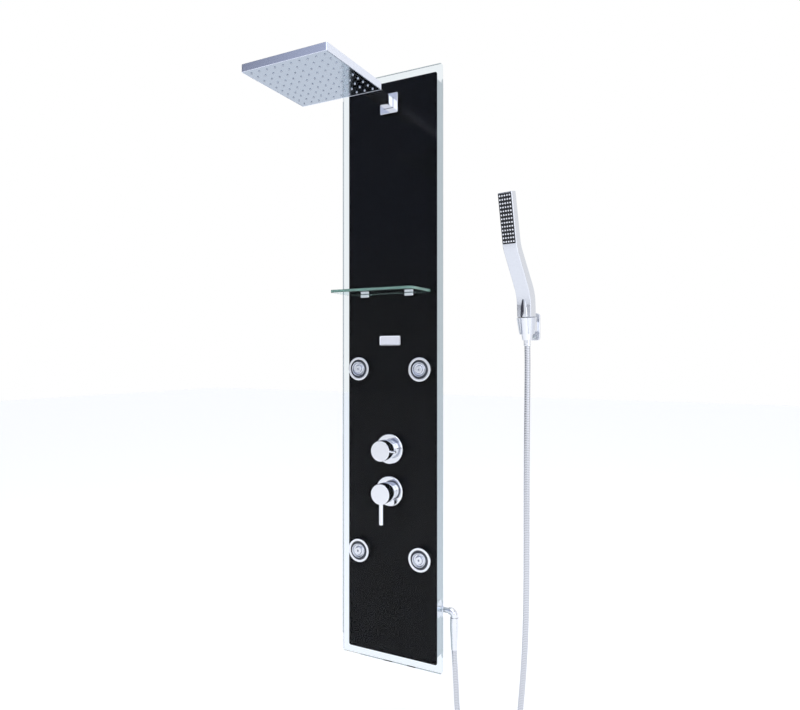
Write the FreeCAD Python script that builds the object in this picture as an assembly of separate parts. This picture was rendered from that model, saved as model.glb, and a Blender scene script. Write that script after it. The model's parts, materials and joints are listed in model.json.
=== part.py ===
"""Wall-hung glass shower panel column: rain head on an arm, shelf, four body jets, diverter,
lever mixer, and a hand shower on its own wall holder.

Millimetres. +X is right along the wall, +Y is into the wall, +Z is up. The origin is on the wall
plane, behind the middle of the panel, so the column itself stands at negative Y.
"""

import FreeCAD, Part
import math
import os

V = FreeCAD.Vector
X, Y, Z = V(1, 0, 0), V(0, 1, 0), V(0, 0, 1)

# ---------------------------------------------------------------- driving dimensions
# glass panel
GLASS_W, GLASS_H, GLASS_T = 250.0, 1300.0, 8.0
GLASS_CORNER = 5.0
GLASS_ARRIS = 0.8
GLASS_BACK = 50.0          # the back of the glass, off the wall
CLEAR_MARGIN = 14.0        # unpainted border of the glass
COAT_T = 0.4               # black coat on the back of the glass
# rear frame, folded sheet
SHEET = 1.5
FRAME_FLANGE = 10.0
FRAME_INSET = 8.0          # the frame's outside stands this far inside the edge of the coat
SUPPLY_HOLE_R = 17.0       # holes in the bottom rail for the supply tails
FOLD_R = 1.2
STRAP_H, STRAP_T = 40.0, 3.0
LOWER_STRAP_Z = 60 - GLASS_H / 2
LOWER_HOLE_X = GLASS_W / 2 - 55
# wall bracket and the bar that hangs on it
BRACKET_W, BRACKET_T = GLASS_W - 90, 2.0
BRACKET_Z, BRACKET_H = GLASS_H / 2 - 180, 30.0
LIP_OFF, LIP_H = 5.3, 13.7
BRACKET_HOLE_X = BRACKET_W / 2 - 20
HANGER_PLATE_H = 36.0
WALL_HOLE_R = 2.6
# overhead arm
ARM_SIDE, ARM_EDGE_R = 22.0, 2.0
ARM_Z = GLASS_H / 2 - 67
ARM_REACH = 289.0          # glass face to the axis of the head
ARM_BEND_R = 16.0
ARM_LEG = 5.0
ARM_FLANGE, ARM_FLANGE_T = 44.0, 7.0
ARM_SHANK_R, ARM_SHANK_L = 10.2, 24.0
ARM_NUT_AF, ARM_NUT_T = 32.0, 6.0
# ball joint of the rain head
BALL_R, BALL_NECK_R, BALL_DROP = 9.5, 5.0, 13.0
BALL_FLAT = 7.0
BALL_HEX_R, BALL_HEX_H = 9.5, 2.4
SEAT_WALL = 1.5
SEAT_RING_R = 13.2
COLLAR_R, COLLAR_TOP, COLLAR_LIP = 15.5, 7.2, 1.6
# rain head
HEAD_SIDE, HEAD_T, HEAD_CORNER = 182.0, 14.0, 2.8
HEAD_BELOW_BALL = 8.0
HEAD_WALL, HEAD_ROOF = 1.6, 2.0
BOSS_WALL, BOSS_H = 1.4, 1.7
FACE_T, MAT_T = 2.0, 1.5
HEAD_ROWS, HEAD_PITCH = 10, 17.4
TIP_R, TIP_END_R, TIP_OUT = 2.3, 1.7, 2.0
# glass shelf
SHELF_W, SHELF_D, SHELF_T = GLASS_W - 50, 86.0, 6.0
SHELF_Z = 163.5            # underside
SHELF_CORNER = 8.0
CLIP_X, CLIP_W, CLIP_D = SHELF_W / 2 - 45, 21.0, 18.0
CLIP_BACK, CLIP_LOWER, CLIP_UPPER = 4.0, 6.3, 4.2
CLIP_SCREW_R, CLIP_HEAD_R, CLIP_HEAD_T = 3.0, 6.0, 4.0
CLIP_THREAD = 3.0
# badge place
BADGE_W, BADGE_H, BADGE_T = 52.0, 21.0, 1.6
BADGE_Z, BADGE_CORNER, BADGE_RIM, BADGE_DIP = 61.0, 3.0, 1.6, 0.5
# body jets
JET_X, JET_UPPER_Z, JET_LOWER_Z = GLASS_W / 2 - 49, -2.0, -411.0
BEZEL_R, BEZEL_FRONT, BEZEL_LAND = 26.4, 9.8, 22.4
JET_CENTRE = 5.0           # centre of the swivel, ahead of the glass
JET_BALL_R, JET_RING_WALL, JET_RING_HALF = 17.0, 2.7, 4.0
JET_FACE, JET_TAIL = 7.5, 9.0
JET_DISH_R, JET_DISH = 12.6, 1.6
JET_HUB_R, JET_HUB = 8.2, 2.2
JET_BODY_R, JET_BODY_IN, JET_BODY_WALL = 22.0, 3.2, 3.0
JET_STUB_R = 8.0
JET_NUT_R, JET_NUT_T = 24.5, 5.0
JET_WATER_R = 4.0
# the two controls
DIVERTER_Z, MIXER_Z = -178.0, -271.0
ROSE_R, ROSE_T, ROSE_EDGE = 33.5, 6.0, 2.0
NECK_R, NECK_OUT = 17.5, 10.0
CARTRIDGE_R, CARTRIDGE_DEEP = 15.0, 30.0
KNOB_R, KNOB_FRONT, KNOB_REAR, KNOB_EDGE = 22.5, 46.0, 20.0, 1.2
PIVOT = 17.5               # lever pivot, ahead of the glass
DOME_R, DOME_WALL, DOME_MOUTH_R = 19.5, 1.5, 11.5
KNOB_HOLLOW_R = 20.6
CARRIER_R, CARRIER_TOP, CARRIER_FOOT = 11.5, 22.5, 7.8
CARTRIDGE_RIM = 21.5
SPINDLE, SPINDLE_FOOT, SPINDLE_TOP = 8.0, 11.5, 41.5
SLOT_HALF = 6.6
PIVOT_PIN_R = 1.5
LEVER_R, LEVER_OUT, LEVER_BACK = 5.0, 44.0, 6.5
LEVER_IN = 5.0
DIVERTER_PIN_R, DIVERTER_PIN_OUT = 2.8, 13.0
STEM_R, STEM_FOOT, STEM_TOP = 5.0, 4.0, 40.0
STEM_GUIDE_TOP = 14.0
DIVERTER_HOLLOW = 8.0
# brass valve body
VALVE_R, VALVE_REAR = 23.0, 10.0
LINK_R, PORT_R = 10.0, 9.0
INLET_X, INLET_R, INLET_DROP, INLET_THREAD = 30.0, 10.48, 40.0, 14.0
INLET_NECK_R = 9.4
INLET_BORE_R = 7.0
# water pipes behind the glass
PIPE_R, PIPE_OFF, PIPE_BEND = 6.0, 24.8, 12.0
TEE_R = 8.5
PORT_END = 28.0
SIDE_PORT_DROP = 44.0
OUTLET_PIPE_X = JET_X - 22
ARM_ELBOW_R = 11.0
# side outlet
OUTLET_Z = 126 - GLASS_H / 2
OUTLET_ROSE_R, OUTLET_ROSE_T = 19.5, 3.0
NIPPLE_R, OUTLET_REACH = 6.0, 36.6
ELBOW_R, ELBOW_LEG_R, ELBOW_LEG = 9.0, 8.0, 12.0
# hose
HOSE_R = 6.0
HOSE_NUT_TOP_R, HOSE_NUT_END_R, HOSE_NUT_L = 9.5, 7.3, 70.0
HOSE_STRAIGHT = 14.0       # straight out of the nut
LOOP_BELOW = 129.0         # middle of the loop, below the start of the hose
LOOP_LEAN_IN, LOOP_LEAN_OUT = 7.4, 20.5    # the legs of the loop lean in by this much
LOOP_OUT = 24.0            # how far the loop comes forward while it turns
# hand shower and holder
HOLDER_X, HOLDER_OFF = 309.5, 58.0
HOLDER_TILT = 5.0          # the cup and all in it lean away from the wall
CUP_TOP_Z, CUP_H = 103.5, 33.0
CUP_TOP_R, CUP_END_R = 20.0, 15.0
CUP_SLOT = 15.0
PLATE_W, PLATE_H, PLATE_T, PLATE_CORNER = 24.0, 56.0, 6.0, 6.0
PLATE_HOLE_PITCH, PLATE_HOLE_R = 42.0, 2.2
BRIDGE_W, BRIDGE_H = 18.0, 22.0
CONE_TOP_R, CONE_END_R, CONE_L = 16.6, 9.8, 45.0
HAND_TURN = -15.0          # how far the handset is turned in the cup
HAND_W = 32.0
HAND_KNEE_Z, HAND_HIP_D, HAND_HIP_Z, HAND_TIP_D, HAND_TIP_Z = 45.0, 45.6, 137.5, 59.0, 240.0
HAND_FOOT_T, HAND_HIP_T, HAND_TIP_T = 20.0, 17.0, 15.0
HAND_KNEE_R, HAND_HIP_R, HAND_TIP_R = 80.0, 60.0, 1.5
HAND_EDGE_R = 1.5
HAND_NECK_R, HAND_NECK_L = 9.4, 20.0
SPRAY_W, SPRAY_L, SPRAY_T, SPRAY_END = 29.0, 95.0, 3.0, 2.0
SPRAY_PROUD = 0.6
SPRAY_ROWS, SPRAY_COLS, SPRAY_TIP_R, SPRAY_TIP = 13, 5, 1.6, 1.0
FERRULE_R, FERRULE_L, FERRULE_IN = 7.2, 30.0, 18.0
# named clearances
SEATED = 0.3               # pieces that rest on each other without a fit
RUNNING = 0.06             # radial clearance of a pin in its hole
BALL_GAP = 0.25            # between the spherical faces of a swivel
HOLE_GAP = 0.6             # round a shank that passes through the glass
CUP_GAP = 0.4              # between the cone nut and the cup

# ---------------------------------------------------------------- planes that follow
COAT_Y = -(GLASS_BACK - COAT_T)
BACK_Y = -GLASS_BACK
FACE_Y = -(GLASS_BACK + GLASS_T)
COAT_W, COAT_H = GLASS_W - 2 * CLEAR_MARGIN, GLASS_H - 2 * CLEAR_MARGIN
FRAME_W, FRAME_H = COAT_W - 2 * FRAME_INSET, COAT_H - 2 * FRAME_INSET
BEHIND = FACE_Y - COAT_Y   # the back of the coat, measured ahead of the glass face (negative)
PIPE_Y = -PIPE_OFF
JET_STUB_END = PIPE_Y - FACE_Y - TEE_R - SEATED
HEAD_Y = FACE_Y - ARM_REACH
ARM_END_Z = ARM_Z - ARM_BEND_R - ARM_LEG
BALL_Z = ARM_END_Z - BALL_DROP
HEAD_TOP_Z = BALL_Z - HEAD_BELOW_BALL
HEAD_FACE_Z = HEAD_TOP_Z - HEAD_T
JETS = {
    "upper_left": (-JET_X, JET_UPPER_Z),
    "upper_right": (JET_X, JET_UPPER_Z),
    "lower_left": (-JET_X, JET_LOWER_Z),
    "lower_right": (JET_X, JET_LOWER_Z),
}
JET_HOLE_R = JET_BODY_R + HOLE_GAP
NECK_HOLE_R = NECK_R + HOLE_GAP
ARM_HOLE_R = ARM_SHANK_R + HOLE_GAP
CLIP_HOLE_R = CLIP_SCREW_R + HOLE_GAP
CLIP_SCREW_Z = SHELF_Z + SHELF_T / 2
OUTLET_X = FRAME_W / 2 + OUTLET_REACH
ELBOW_FOOT_Z = OUTLET_Z - ELBOW_LEG
HOSE_START_Z = ELBOW_FOOT_Z - SEATED - HOSE_NUT_L
CONE_TOP_Z = CUP_TOP_Z + 0.1
HAND_FOOT_Z = CONE_TOP_Z + SEATED
FERRULE_TOP_Z = CONE_TOP_Z - CONE_L + FERRULE_IN
HOSE_END_Z = FERRULE_TOP_Z - FERRULE_L

TILT_SIN = math.sin(math.radians(HOLDER_TILT))
TILT_COS = math.cos(math.radians(HOLDER_TILT))


def on_cup_axis(z):
    """The point of the cup's tilted axis that stands at height z before the tilt."""
    below = CUP_TOP_Z - z
    return V(HOLDER_X, below * TILT_SIN - HOLDER_OFF, CUP_TOP_Z - below * TILT_COS)


# The hose hangs from the side outlet in one loop and climbs to the hand shower.
HOSE_DOWN = [
    V(OUTLET_X, PIPE_Y, HOSE_START_Z),
    V(OUTLET_X, PIPE_Y, HOSE_START_Z - HOSE_STRAIGHT),
    V(OUTLET_X + 2.5, PIPE_Y - 0.5, HOSE_START_Z - 46),
    V(OUTLET_X + 5.4, PIPE_Y - 1.1, HOSE_START_Z - 92),
]
LOOP_LEFT, LOOP_RIGHT = OUTLET_X + LOOP_LEAN_IN, HOLDER_X - LOOP_LEAN_OUT
LOOP_X, LOOP_R = (LOOP_LEFT + LOOP_RIGHT) / 2, (LOOP_RIGHT - LOOP_LEFT) / 2
LOOP_Z = HOSE_START_Z - LOOP_BELOW
HOSE_LOOP = [
    V(
        LOOP_X + LOOP_R * math.cos(math.radians(turn)),
        PIPE_Y - LOOP_OUT * (turn / 180 - 0.93),
        LOOP_Z + LOOP_R * math.sin(math.radians(turn)),
    )
    for turn in range(180, 361, 30)
]
HOSE_TOP = on_cup_axis(HOSE_END_Z)
# shares of the way from the loop's right end to the hand shower, along X and Z, and Y
CLIMB = [
    (0.234, 0.052, -51.4), (0.449, 0.114, -51.8), (0.624, 0.175, -51.6), (0.756, 0.240, -51.2),
    (0.834, 0.313, -50.7), (0.873, 0.392, -50.2), (0.878, 0.492, -49.6), (0.873, 0.597, -49.1),
    (0.878, 0.701, -48.7), (0.902, 0.803, -48.5), (0.951, 0.902, -48.7),
]
HOSE_UP = [
    V(
        LOOP_RIGHT + (HOSE_TOP.x - LOOP_RIGHT) * across,
        y,
        LOOP_Z + (HOSE_TOP.z - LOOP_Z) * up,
    )
    for across, up, y in CLIMB
]
HOSE_UP += [on_cup_axis(HOSE_END_Z - 22), HOSE_TOP]
HOSE_ROUTE = HOSE_DOWN + HOSE_LOOP + HOSE_UP


# ---------------------------------------------------------------- general helpers
def box(x0, x1, y0, y1, z0, z1):
    low = V(min(x0, x1), min(y0, y1), min(z0, z1))
    return Part.makeBox(abs(x1 - x0), abs(y1 - y0), abs(z1 - z0), low)


def rod(r, start, end):
    return Part.makeCylinder(r, (end - start).Length, start, end - start)


def cut(shape, *tools):
    return shape.cut(list(tools))


def fuse(shape, *others):
    return shape.fuse(list(others)).removeSplitter()


def rounded(points, radii, closed=False):
    """Edges of a polyline whose corners are tangent arcs; a radius of 0 keeps a corner sharp."""
    n = len(points)
    ends = []
    for i, p in enumerate(points):
        r = radii[i]
        if r == 0 or (not closed and i in (0, n - 1)):
            ends.append((p, p, None))
            continue
        back = (points[i - 1] - p).normalize()
        ahead = (points[(i + 1) % n] - p).normalize()
        half = back.getAngle(ahead) / 2
        reach = r / math.tan(half)
        middle = p + (back + ahead).normalize() * (r / math.sin(half) - r)
        ends.append((p + back * reach, p + ahead * reach, middle))
    edges = []
    for i, (start, end, middle) in enumerate(ends):
        if middle is not None:
            edges.append(Part.Arc(start, middle, end).toShape())
        if closed or i < n - 1:
            onward = ends[(i + 1) % n][0]
            if (onward - end).Length > 1e-6:
                edges.append(Part.LineSegment(end, onward).toShape())
    return edges


def outline(points, radii):
    return Part.Wire(rounded(points, radii, closed=True))


def rectangle(w, h, r, z=0.0):
    """Rounded rectangle about the Z axis."""
    corners = [V(-w / 2, -h / 2, z), V(w / 2, -h / 2, z), V(w / 2, h / 2, z), V(-w / 2, h / 2, z)]
    return outline(corners, [r] * 4)


def plate(w, h, r, z0, z1, holes=()):
    """Rounded plate about the Z axis with wires for holes."""
    face = Part.makeFace([rectangle(w, h, r, z0), *holes], "Part::FaceMakerBullseye")
    return face.extrude(V(0, 0, z1 - z0))


def hexagon(r, x=0.0, y=0.0, z=0.0):
    corners = [
        V(x + r * math.cos(math.radians(60 * k)), y + r * math.sin(math.radians(60 * k)), z)
        for k in range(6)
    ]
    return Part.makePolygon([*corners, corners[0]])


def circle(r, x=0.0, y=0.0, z=0.0):
    return Part.Wire(Part.makeCircle(r, V(x, y, z)))


def turned(start, *steps):
    """Solid of revolution about Z. Each step is the next (radius, height), or a pair of them
    for an arc: a point on it and its end."""
    edges, here = [], V(start[0], 0, start[1])
    for step in [*steps, start]:
        if isinstance(step[0], tuple):
            middle, end = (V(p[0], 0, p[1]) for p in step)
            edges.append(Part.Arc(here, middle, end).toShape())
        else:
            end = V(step[0], 0, step[1])
            if (end - here).Length < 1e-6:
                continue
            edges.append(Part.LineSegment(here, end).toShape())
        here = end
    return Part.Face(Part.Wire(edges)).revolve(V(0, 0, 0), Z, 360)


def ball_radius(r, height):
    return math.sqrt(r * r - height * height)


def ball_arc(r, centre, begin, end):
    """Arc step on a ball of radius r about (0, centre), between two heights above its centre."""
    middle = (math.asin(begin / r) + math.asin(end / r)) / 2
    return (
        (r * math.cos(middle), centre + r * math.sin(middle)),
        (ball_radius(r, end), centre + end),
    )


def on_glass(shape, x=0.0, z=0.0):
    """Puts a shape modelled about +Z, with height 0 on the glass face, onto the panel."""
    shape = shape.copy()
    shape.rotate(V(0, 0, 0), X, 90)
    shape.translate(V(x, FACE_Y, z))
    return shape


def moved(shape, x=0.0, y=0.0, z=0.0):
    shape = shape.copy()
    shape.translate(V(x, y, z))
    return shape


def tube(points, r, radii):
    """Round bar along straight runs joined by tangent arcs."""
    path = Part.Wire(rounded(points, radii))
    along = (points[1] - points[0]).normalize()
    ring = Part.Wire(Part.makeCircle(r, points[0], along))
    return path.makePipeShell([ring], True, False)


def bend_radii(points):
    """The largest arc that each corner's shorter run allows."""
    radii = [0.0]
    for a, b, c in zip(points, points[1:], points[2:]):
        half_turn = (b - a).getAngle(c - b) / 2
        radii.append(0.45 * min((b - a).Length, (c - b).Length) / math.tan(half_turn))
    return radii + [0.0]


def group(shapes):
    return Part.makeCompound(list(shapes))


# ---------------------------------------------------------------- panel and frame
def panel_holes(z):
    """Outlines of the holes that the glass and its coat share."""
    places = [(ARM_HOLE_R, 0, ARM_Z), (NECK_HOLE_R, 0, DIVERTER_Z), (NECK_HOLE_R, 0, MIXER_Z)]
    places += [(JET_HOLE_R, x, jz) for x, jz in JETS.values()]
    places += [(CLIP_HOLE_R, side * CLIP_X, CLIP_SCREW_Z) for side in (-1, 1)]
    return [circle(r, x, y, z) for r, x, y in places]


def glass_panel():
    sheet = plate(GLASS_W, GLASS_H, GLASS_CORNER, -GLASS_T, 0, panel_holes(-GLASS_T))
    rim = [
        e
        for e in sheet.Edges
        if e.BoundBox.ZLength < 1e-6 and not e.isClosed()
    ]
    return on_glass(sheet.makeChamfer(GLASS_ARRIS, rim))


def black_coat():
    top = -GLASS_T
    return on_glass(plate(COAT_W, COAT_H, GLASS_CORNER, top - COAT_T, top, panel_holes(top - COAT_T)))


def channel(wall, length):
    """Folded rail along Z with its web at X = wall: the front flange turns outwards behind the
    coat, and the rear one inwards against the wall."""
    front, inner, rim = COAT_Y, wall - SHEET, wall + FRAME_INSET - SEATED
    points = [
        V(wall, 0, 0), V(wall, front + SHEET, 0), V(rim, front + SHEET, 0), V(rim, front, 0),
        V(inner, front, 0), V(inner, -SHEET, 0), V(wall - FRAME_FLANGE, -SHEET, 0),
        V(wall - FRAME_FLANGE, 0, 0),
    ]
    radii = [FOLD_R, 0, 0, 0, FOLD_R, 0, 0, 0]
    return Part.Face(outline(points, radii)).extrude(V(0, 0, length))


def side_rail(side):
    rail = moved(channel(FRAME_W / 2, FRAME_H), z=-FRAME_H / 2)
    if side < 0:
        rail.rotate(V(0, 0, 0), Y, 180)
        return rail
    hole = rod(NIPPLE_R + SEATED, V(0, PIPE_Y, OUTLET_Z), V(FRAME_W, PIPE_Y, OUTLET_Z))
    return cut(rail, hole)


def end_rail(side):
    """Top or bottom rail between the side rails, notched round their rear flanges. The bottom
    one has a hole for each supply tail."""
    web_half = FRAME_W / 2 - SHEET - SEATED
    flange_half = FRAME_W / 2 - FRAME_FLANGE - SEATED
    rail = moved(channel(FRAME_H / 2, 2 * web_half), z=-web_half)
    notches = [
        box(0, FRAME_H, -SHEET - SEATED, SHEET, end * flange_half, end * FRAME_W)
        for end in (-1, 1)
    ]
    rail = cut(rail, *notches)
    rail.rotate(V(0, 0, 0), Y, -90 * side)
    if side > 0:
        return rail
    holes = [
        rod(SUPPLY_HOLE_R, V(x, PIPE_Y, -FRAME_H), V(x, PIPE_Y, 0)) for x in (-INLET_X, INLET_X)
    ]
    return cut(rail, *holes)


def back_straps():
    """Flat straps between the side rails, against the wall; the lower one takes two screws."""
    half = FRAME_W / 2 - FRAME_FLANGE - SEATED
    middle = box(-half, half, -STRAP_T, 0, -STRAP_H / 2, STRAP_H / 2)
    low, high = LOWER_STRAP_Z - STRAP_H / 2, LOWER_STRAP_Z + STRAP_H / 2
    lower = box(-half, half, -STRAP_T, 0, low, high)
    holes = [
        rod(WALL_HOLE_R, V(x, -GLASS_BACK, LOWER_STRAP_Z), V(x, GLASS_BACK, LOWER_STRAP_Z))
        for x in (-LOWER_HOLE_X, LOWER_HOLE_X)
    ]
    return group([middle, cut(lower, *holes)])


def wall_bracket():
    """Folded strip on the wall with an upturned lip."""
    half, top = BRACKET_W / 2, BRACKET_Z + BRACKET_H
    front = -(LIP_OFF + BRACKET_T)
    back = box(-half, half, -BRACKET_T, 0, BRACKET_Z, top)
    web = box(-half, half, front, 0, top - BRACKET_T, top)
    lip = box(-half, half, front, -LIP_OFF, top - BRACKET_T, top + LIP_H)
    holes = [
        rod(WALL_HOLE_R, V(x, -GLASS_BACK, z), V(x, GLASS_BACK, z))
        for x in (-BRACKET_HOLE_X, BRACKET_HOLE_X)
        for z in [BRACKET_Z + BRACKET_H / 2 - BRACKET_T / 2]
    ]
    return cut(fuse(back, web, lip), *holes)


def hanger_bar():
    """Bar across the frame, folded over the lip of the wall bracket."""
    half = FRAME_W / 2 - SHEET - SEATED
    gap = SEATED + 0.2
    roof = BRACKET_Z + BRACKET_H + LIP_H + SEATED
    rear = -LIP_OFF + gap
    front = -(LIP_OFF + BRACKET_T) - gap
    hook = box(-half, half, rear, rear + BRACKET_T, roof - LIP_H + 2 * SEATED, roof)
    top = box(-half, half, front - BRACKET_T, rear + BRACKET_T, roof, roof + BRACKET_T)
    plate_low = roof + BRACKET_T - HANGER_PLATE_H
    front_plate = box(-half, half, front - BRACKET_T, front, plate_low, roof + BRACKET_T)
    return fuse(front_plate, top, hook)


def badge_plate():
    """Bare plate with a thin raised rim."""
    body = plate(BADGE_W, BADGE_H, BADGE_CORNER, 0, BADGE_T)
    inner_w, inner_h = BADGE_W - 2 * BADGE_RIM, BADGE_H - 2 * BADGE_RIM
    dip = plate(inner_w, inner_h, BADGE_CORNER - BADGE_RIM, BADGE_T - BADGE_DIP, BADGE_T)
    return on_glass(cut(body, dip), z=BADGE_Z)


# ---------------------------------------------------------------- overhead arm and rain head
def arm_flange():
    body = plate(ARM_FLANGE, ARM_FLANGE, ARM_EDGE_R, 0, ARM_FLANGE_T)
    front = [e for e in body.Edges if e.BoundBox.ZMin > ARM_FLANGE_T - 1e-6]
    body = body.makeChamfer(ARM_EDGE_R / 2, front)
    hole_side = ARM_SIDE + 2 * SEATED
    hole = plate(hole_side, hole_side, ARM_EDGE_R, -1, ARM_FLANGE_T + 1)
    return on_glass(cut(body, hole), z=ARM_Z)


def shower_arm():
    """Square tube, bent down at its end, with a round threaded shank at the wall end."""
    section = Part.Face(rectangle(ARM_SIDE, ARM_SIDE, ARM_EDGE_R))
    run = section.extrude(V(0, 0, ARM_REACH - ARM_BEND_R))
    bend = section.revolve(V(0, -ARM_BEND_R, 0), X, 90)
    bend = moved(bend, z=ARM_REACH - ARM_BEND_R)
    leg = Part.Face(rectangle(ARM_SIDE, ARM_SIDE, ARM_EDGE_R)).extrude(V(0, 0, ARM_LEG))
    leg.rotate(V(0, 0, 0), X, 90)
    leg = moved(leg, y=-ARM_BEND_R, z=ARM_REACH)
    shank = Part.makeCylinder(ARM_SHANK_R, ARM_SHANK_L, V(0, 0, -ARM_SHANK_L))
    return on_glass(fuse(run, bend, leg, shank), z=ARM_Z)


def lock_nut(across, bore_r, thick, top):
    """Hexagon nut whose front face is at the height top."""
    body = Part.Face(hexagon(across / math.sqrt(3), z=top - thick)).extrude(V(0, 0, thick))
    bore = Part.makeCylinder(bore_r, thick, V(0, 0, top - thick))
    return cut(body, bore)


def arm_nut():
    return on_glass(lock_nut(ARM_NUT_AF, ARM_SHANK_R + RUNNING, ARM_NUT_T, BEHIND), z=ARM_Z)


def arm_elbow():
    """Brass elbow from the riser pipe into the arm's shank."""
    mouth = FACE_Y + ARM_SHANK_L + SEATED
    body = rod(ARM_ELBOW_R, V(0, mouth, ARM_Z), V(0, PIPE_Y + ARM_ELBOW_R, ARM_Z))
    leg_end = ARM_Z - 2 * ARM_ELBOW_R
    leg = rod(TEE_R, V(0, PIPE_Y, ARM_Z), V(0, PIPE_Y, leg_end))
    bore = rod(JET_WATER_R, V(0, mouth, ARM_Z), V(0, PIPE_Y, ARM_Z))
    return cut(fuse(body, leg), bore)


def arm_ball():
    """Ball stud screwed into the end of the arm, with a bore for the water."""
    hex_foot = BALL_DROP - BALL_HEX_H
    stud = turned(
        (0, -BALL_FLAT),
        (ball_radius(BALL_R, BALL_FLAT), -BALL_FLAT),
        ball_arc(BALL_R, 0, -BALL_FLAT, ball_radius(BALL_R, BALL_NECK_R)),
        (BALL_NECK_R, hex_foot),
        (0, hex_foot),
    )
    nut = Part.Face(hexagon(BALL_HEX_R, z=hex_foot)).extrude(V(0, 0, BALL_HEX_H))
    bore = Part.makeCylinder(BALL_NECK_R / 2, BALL_DROP + BALL_FLAT, V(0, 0, -BALL_FLAT))
    return moved(cut(fuse(stud, nut), bore), y=HEAD_Y, z=BALL_Z)


SEAT_IN = BALL_R + BALL_GAP
SEAT_OUT = SEAT_IN + SEAT_WALL
RING_IN = SEAT_OUT + BALL_GAP
SEAT_HALF, RING_HALF = 5.5, 5.0


def head_seat():
    """Nylon seat that hugs the ball."""
    shape = turned(
        (ball_radius(SEAT_IN, SEAT_HALF), -SEAT_HALF),
        (ball_radius(SEAT_OUT, SEAT_HALF), -SEAT_HALF),
        ball_arc(SEAT_OUT, 0, -SEAT_HALF, SEAT_HALF),
        (ball_radius(SEAT_IN, SEAT_HALF), SEAT_HALF),
        ball_arc(SEAT_IN, 0, SEAT_HALF, -SEAT_HALF),
    )
    return moved(shape, y=HEAD_Y, z=BALL_Z)


def head_seat_ring():
    """Outer ring of the swivel, round the seat and inside the collar."""
    shape = turned(
        (ball_radius(RING_IN, RING_HALF), -RING_HALF),
        (SEAT_RING_R, -RING_HALF),
        (SEAT_RING_R, RING_HALF),
        (ball_radius(RING_IN, RING_HALF), RING_HALF),
        ball_arc(RING_IN, 0, RING_HALF, -RING_HALF),
    )
    return moved(shape, y=HEAD_Y, z=BALL_Z)


def head_collar():
    """Collar nut that holds the swivel on the head."""
    bore = SEAT_RING_R + SEATED
    lip = COLLAR_TOP - COLLAR_LIP
    shape = turned(
        (bore, -HEAD_BELOW_BALL),
        (COLLAR_R, -HEAD_BELOW_BALL),
        (COLLAR_R, COLLAR_TOP - COLLAR_LIP),
        (COLLAR_R - COLLAR_LIP, COLLAR_TOP),
        (ball_radius(RING_IN, COLLAR_TOP), COLLAR_TOP),
        ball_arc(RING_IN, 0, COLLAR_TOP, lip),
        (bore, lip),
    )
    return moved(shape, y=HEAD_Y, z=BALL_Z)


def head_shell():
    """Square upper shell, open below, with the threaded boss for the collar."""
    body = plate(HEAD_SIDE, HEAD_SIDE, HEAD_CORNER, 0, HEAD_T)
    top_edges = [e for e in body.Edges if e.BoundBox.ZMin > HEAD_T - 1e-6]
    body = body.makeFillet(HEAD_ROOF / 2, top_edges)
    inner = HEAD_SIDE - 2 * HEAD_WALL
    hollow = plate(inner, inner, HEAD_CORNER - HEAD_WALL, -1, HEAD_T - HEAD_ROOF)
    boss_r = SEAT_RING_R
    boss = Part.makeCylinder(boss_r, HEAD_ROOF + BOSS_H, V(0, 0, HEAD_T - HEAD_ROOF))
    mouth = Part.makeCylinder(boss_r - BOSS_WALL, HEAD_T + BOSS_H)
    return moved(cut(fuse(cut(body, hollow), boss), mouth), y=HEAD_Y, z=HEAD_FACE_Z)


def nozzle_places(columns, rows, pitch_x, pitch_y):
    return [
        (pitch_x * (i - (columns - 1) / 2), pitch_y * (j - (rows - 1) / 2))
        for i in range(columns)
        for j in range(rows)
    ]


def head_faceplate():
    """Polished plate in the shell's mouth, with a hole for each nozzle tip."""
    side = HEAD_SIDE - 2 * (HEAD_WALL + SEATED)
    places = nozzle_places(HEAD_ROWS, HEAD_ROWS, HEAD_PITCH, HEAD_PITCH)
    holes = [hexagon(TIP_R + SEATED, x, y) for x, y in places]
    shape = plate(side, side, HEAD_CORNER - HEAD_WALL, 0, FACE_T, holes)
    return moved(shape, y=HEAD_Y, z=HEAD_FACE_Z)


def nozzle_tip(x, y, top, foot, top_r, foot_r):
    """Tapered tip that points down."""
    wires = [hexagon(foot_r, x, y, foot), hexagon(top_r, x, y, top)]
    return Part.makeLoft(wires, True, True)


def head_nozzles():
    """Silicone mat above the faceplate, its tips reaching through the holes."""
    side = HEAD_SIDE - 2 * (HEAD_WALL + 2 * SEATED)
    mat = plate(side, side, HEAD_CORNER - HEAD_WALL, FACE_T, FACE_T + MAT_T)
    places = nozzle_places(HEAD_ROWS, HEAD_ROWS, HEAD_PITCH, HEAD_PITCH)
    tips = [nozzle_tip(x, y, FACE_T, -TIP_OUT, TIP_R, TIP_END_R) for x, y in places]
    return moved(mat.fuse(tips), y=HEAD_Y, z=HEAD_FACE_Z)


# ---------------------------------------------------------------- shelf
def shelf_glass():
    back = FACE_Y - CLIP_BACK - SEATED
    front = back - SHELF_D
    half = SHELF_W / 2
    points = [V(x, y, SHELF_Z) for x, y in [(-half, back), (-half, front), (half, front), (half, back)]]
    wire = outline(points, [0.0, SHELF_CORNER, SHELF_CORNER, 0.0])
    sheet = Part.Face(wire).extrude(V(0, 0, SHELF_T))
    rim = [e for e in sheet.Edges if e.BoundBox.ZLength < 1e-6]
    return sheet.makeChamfer(GLASS_ARRIS / 2, rim)


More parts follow.
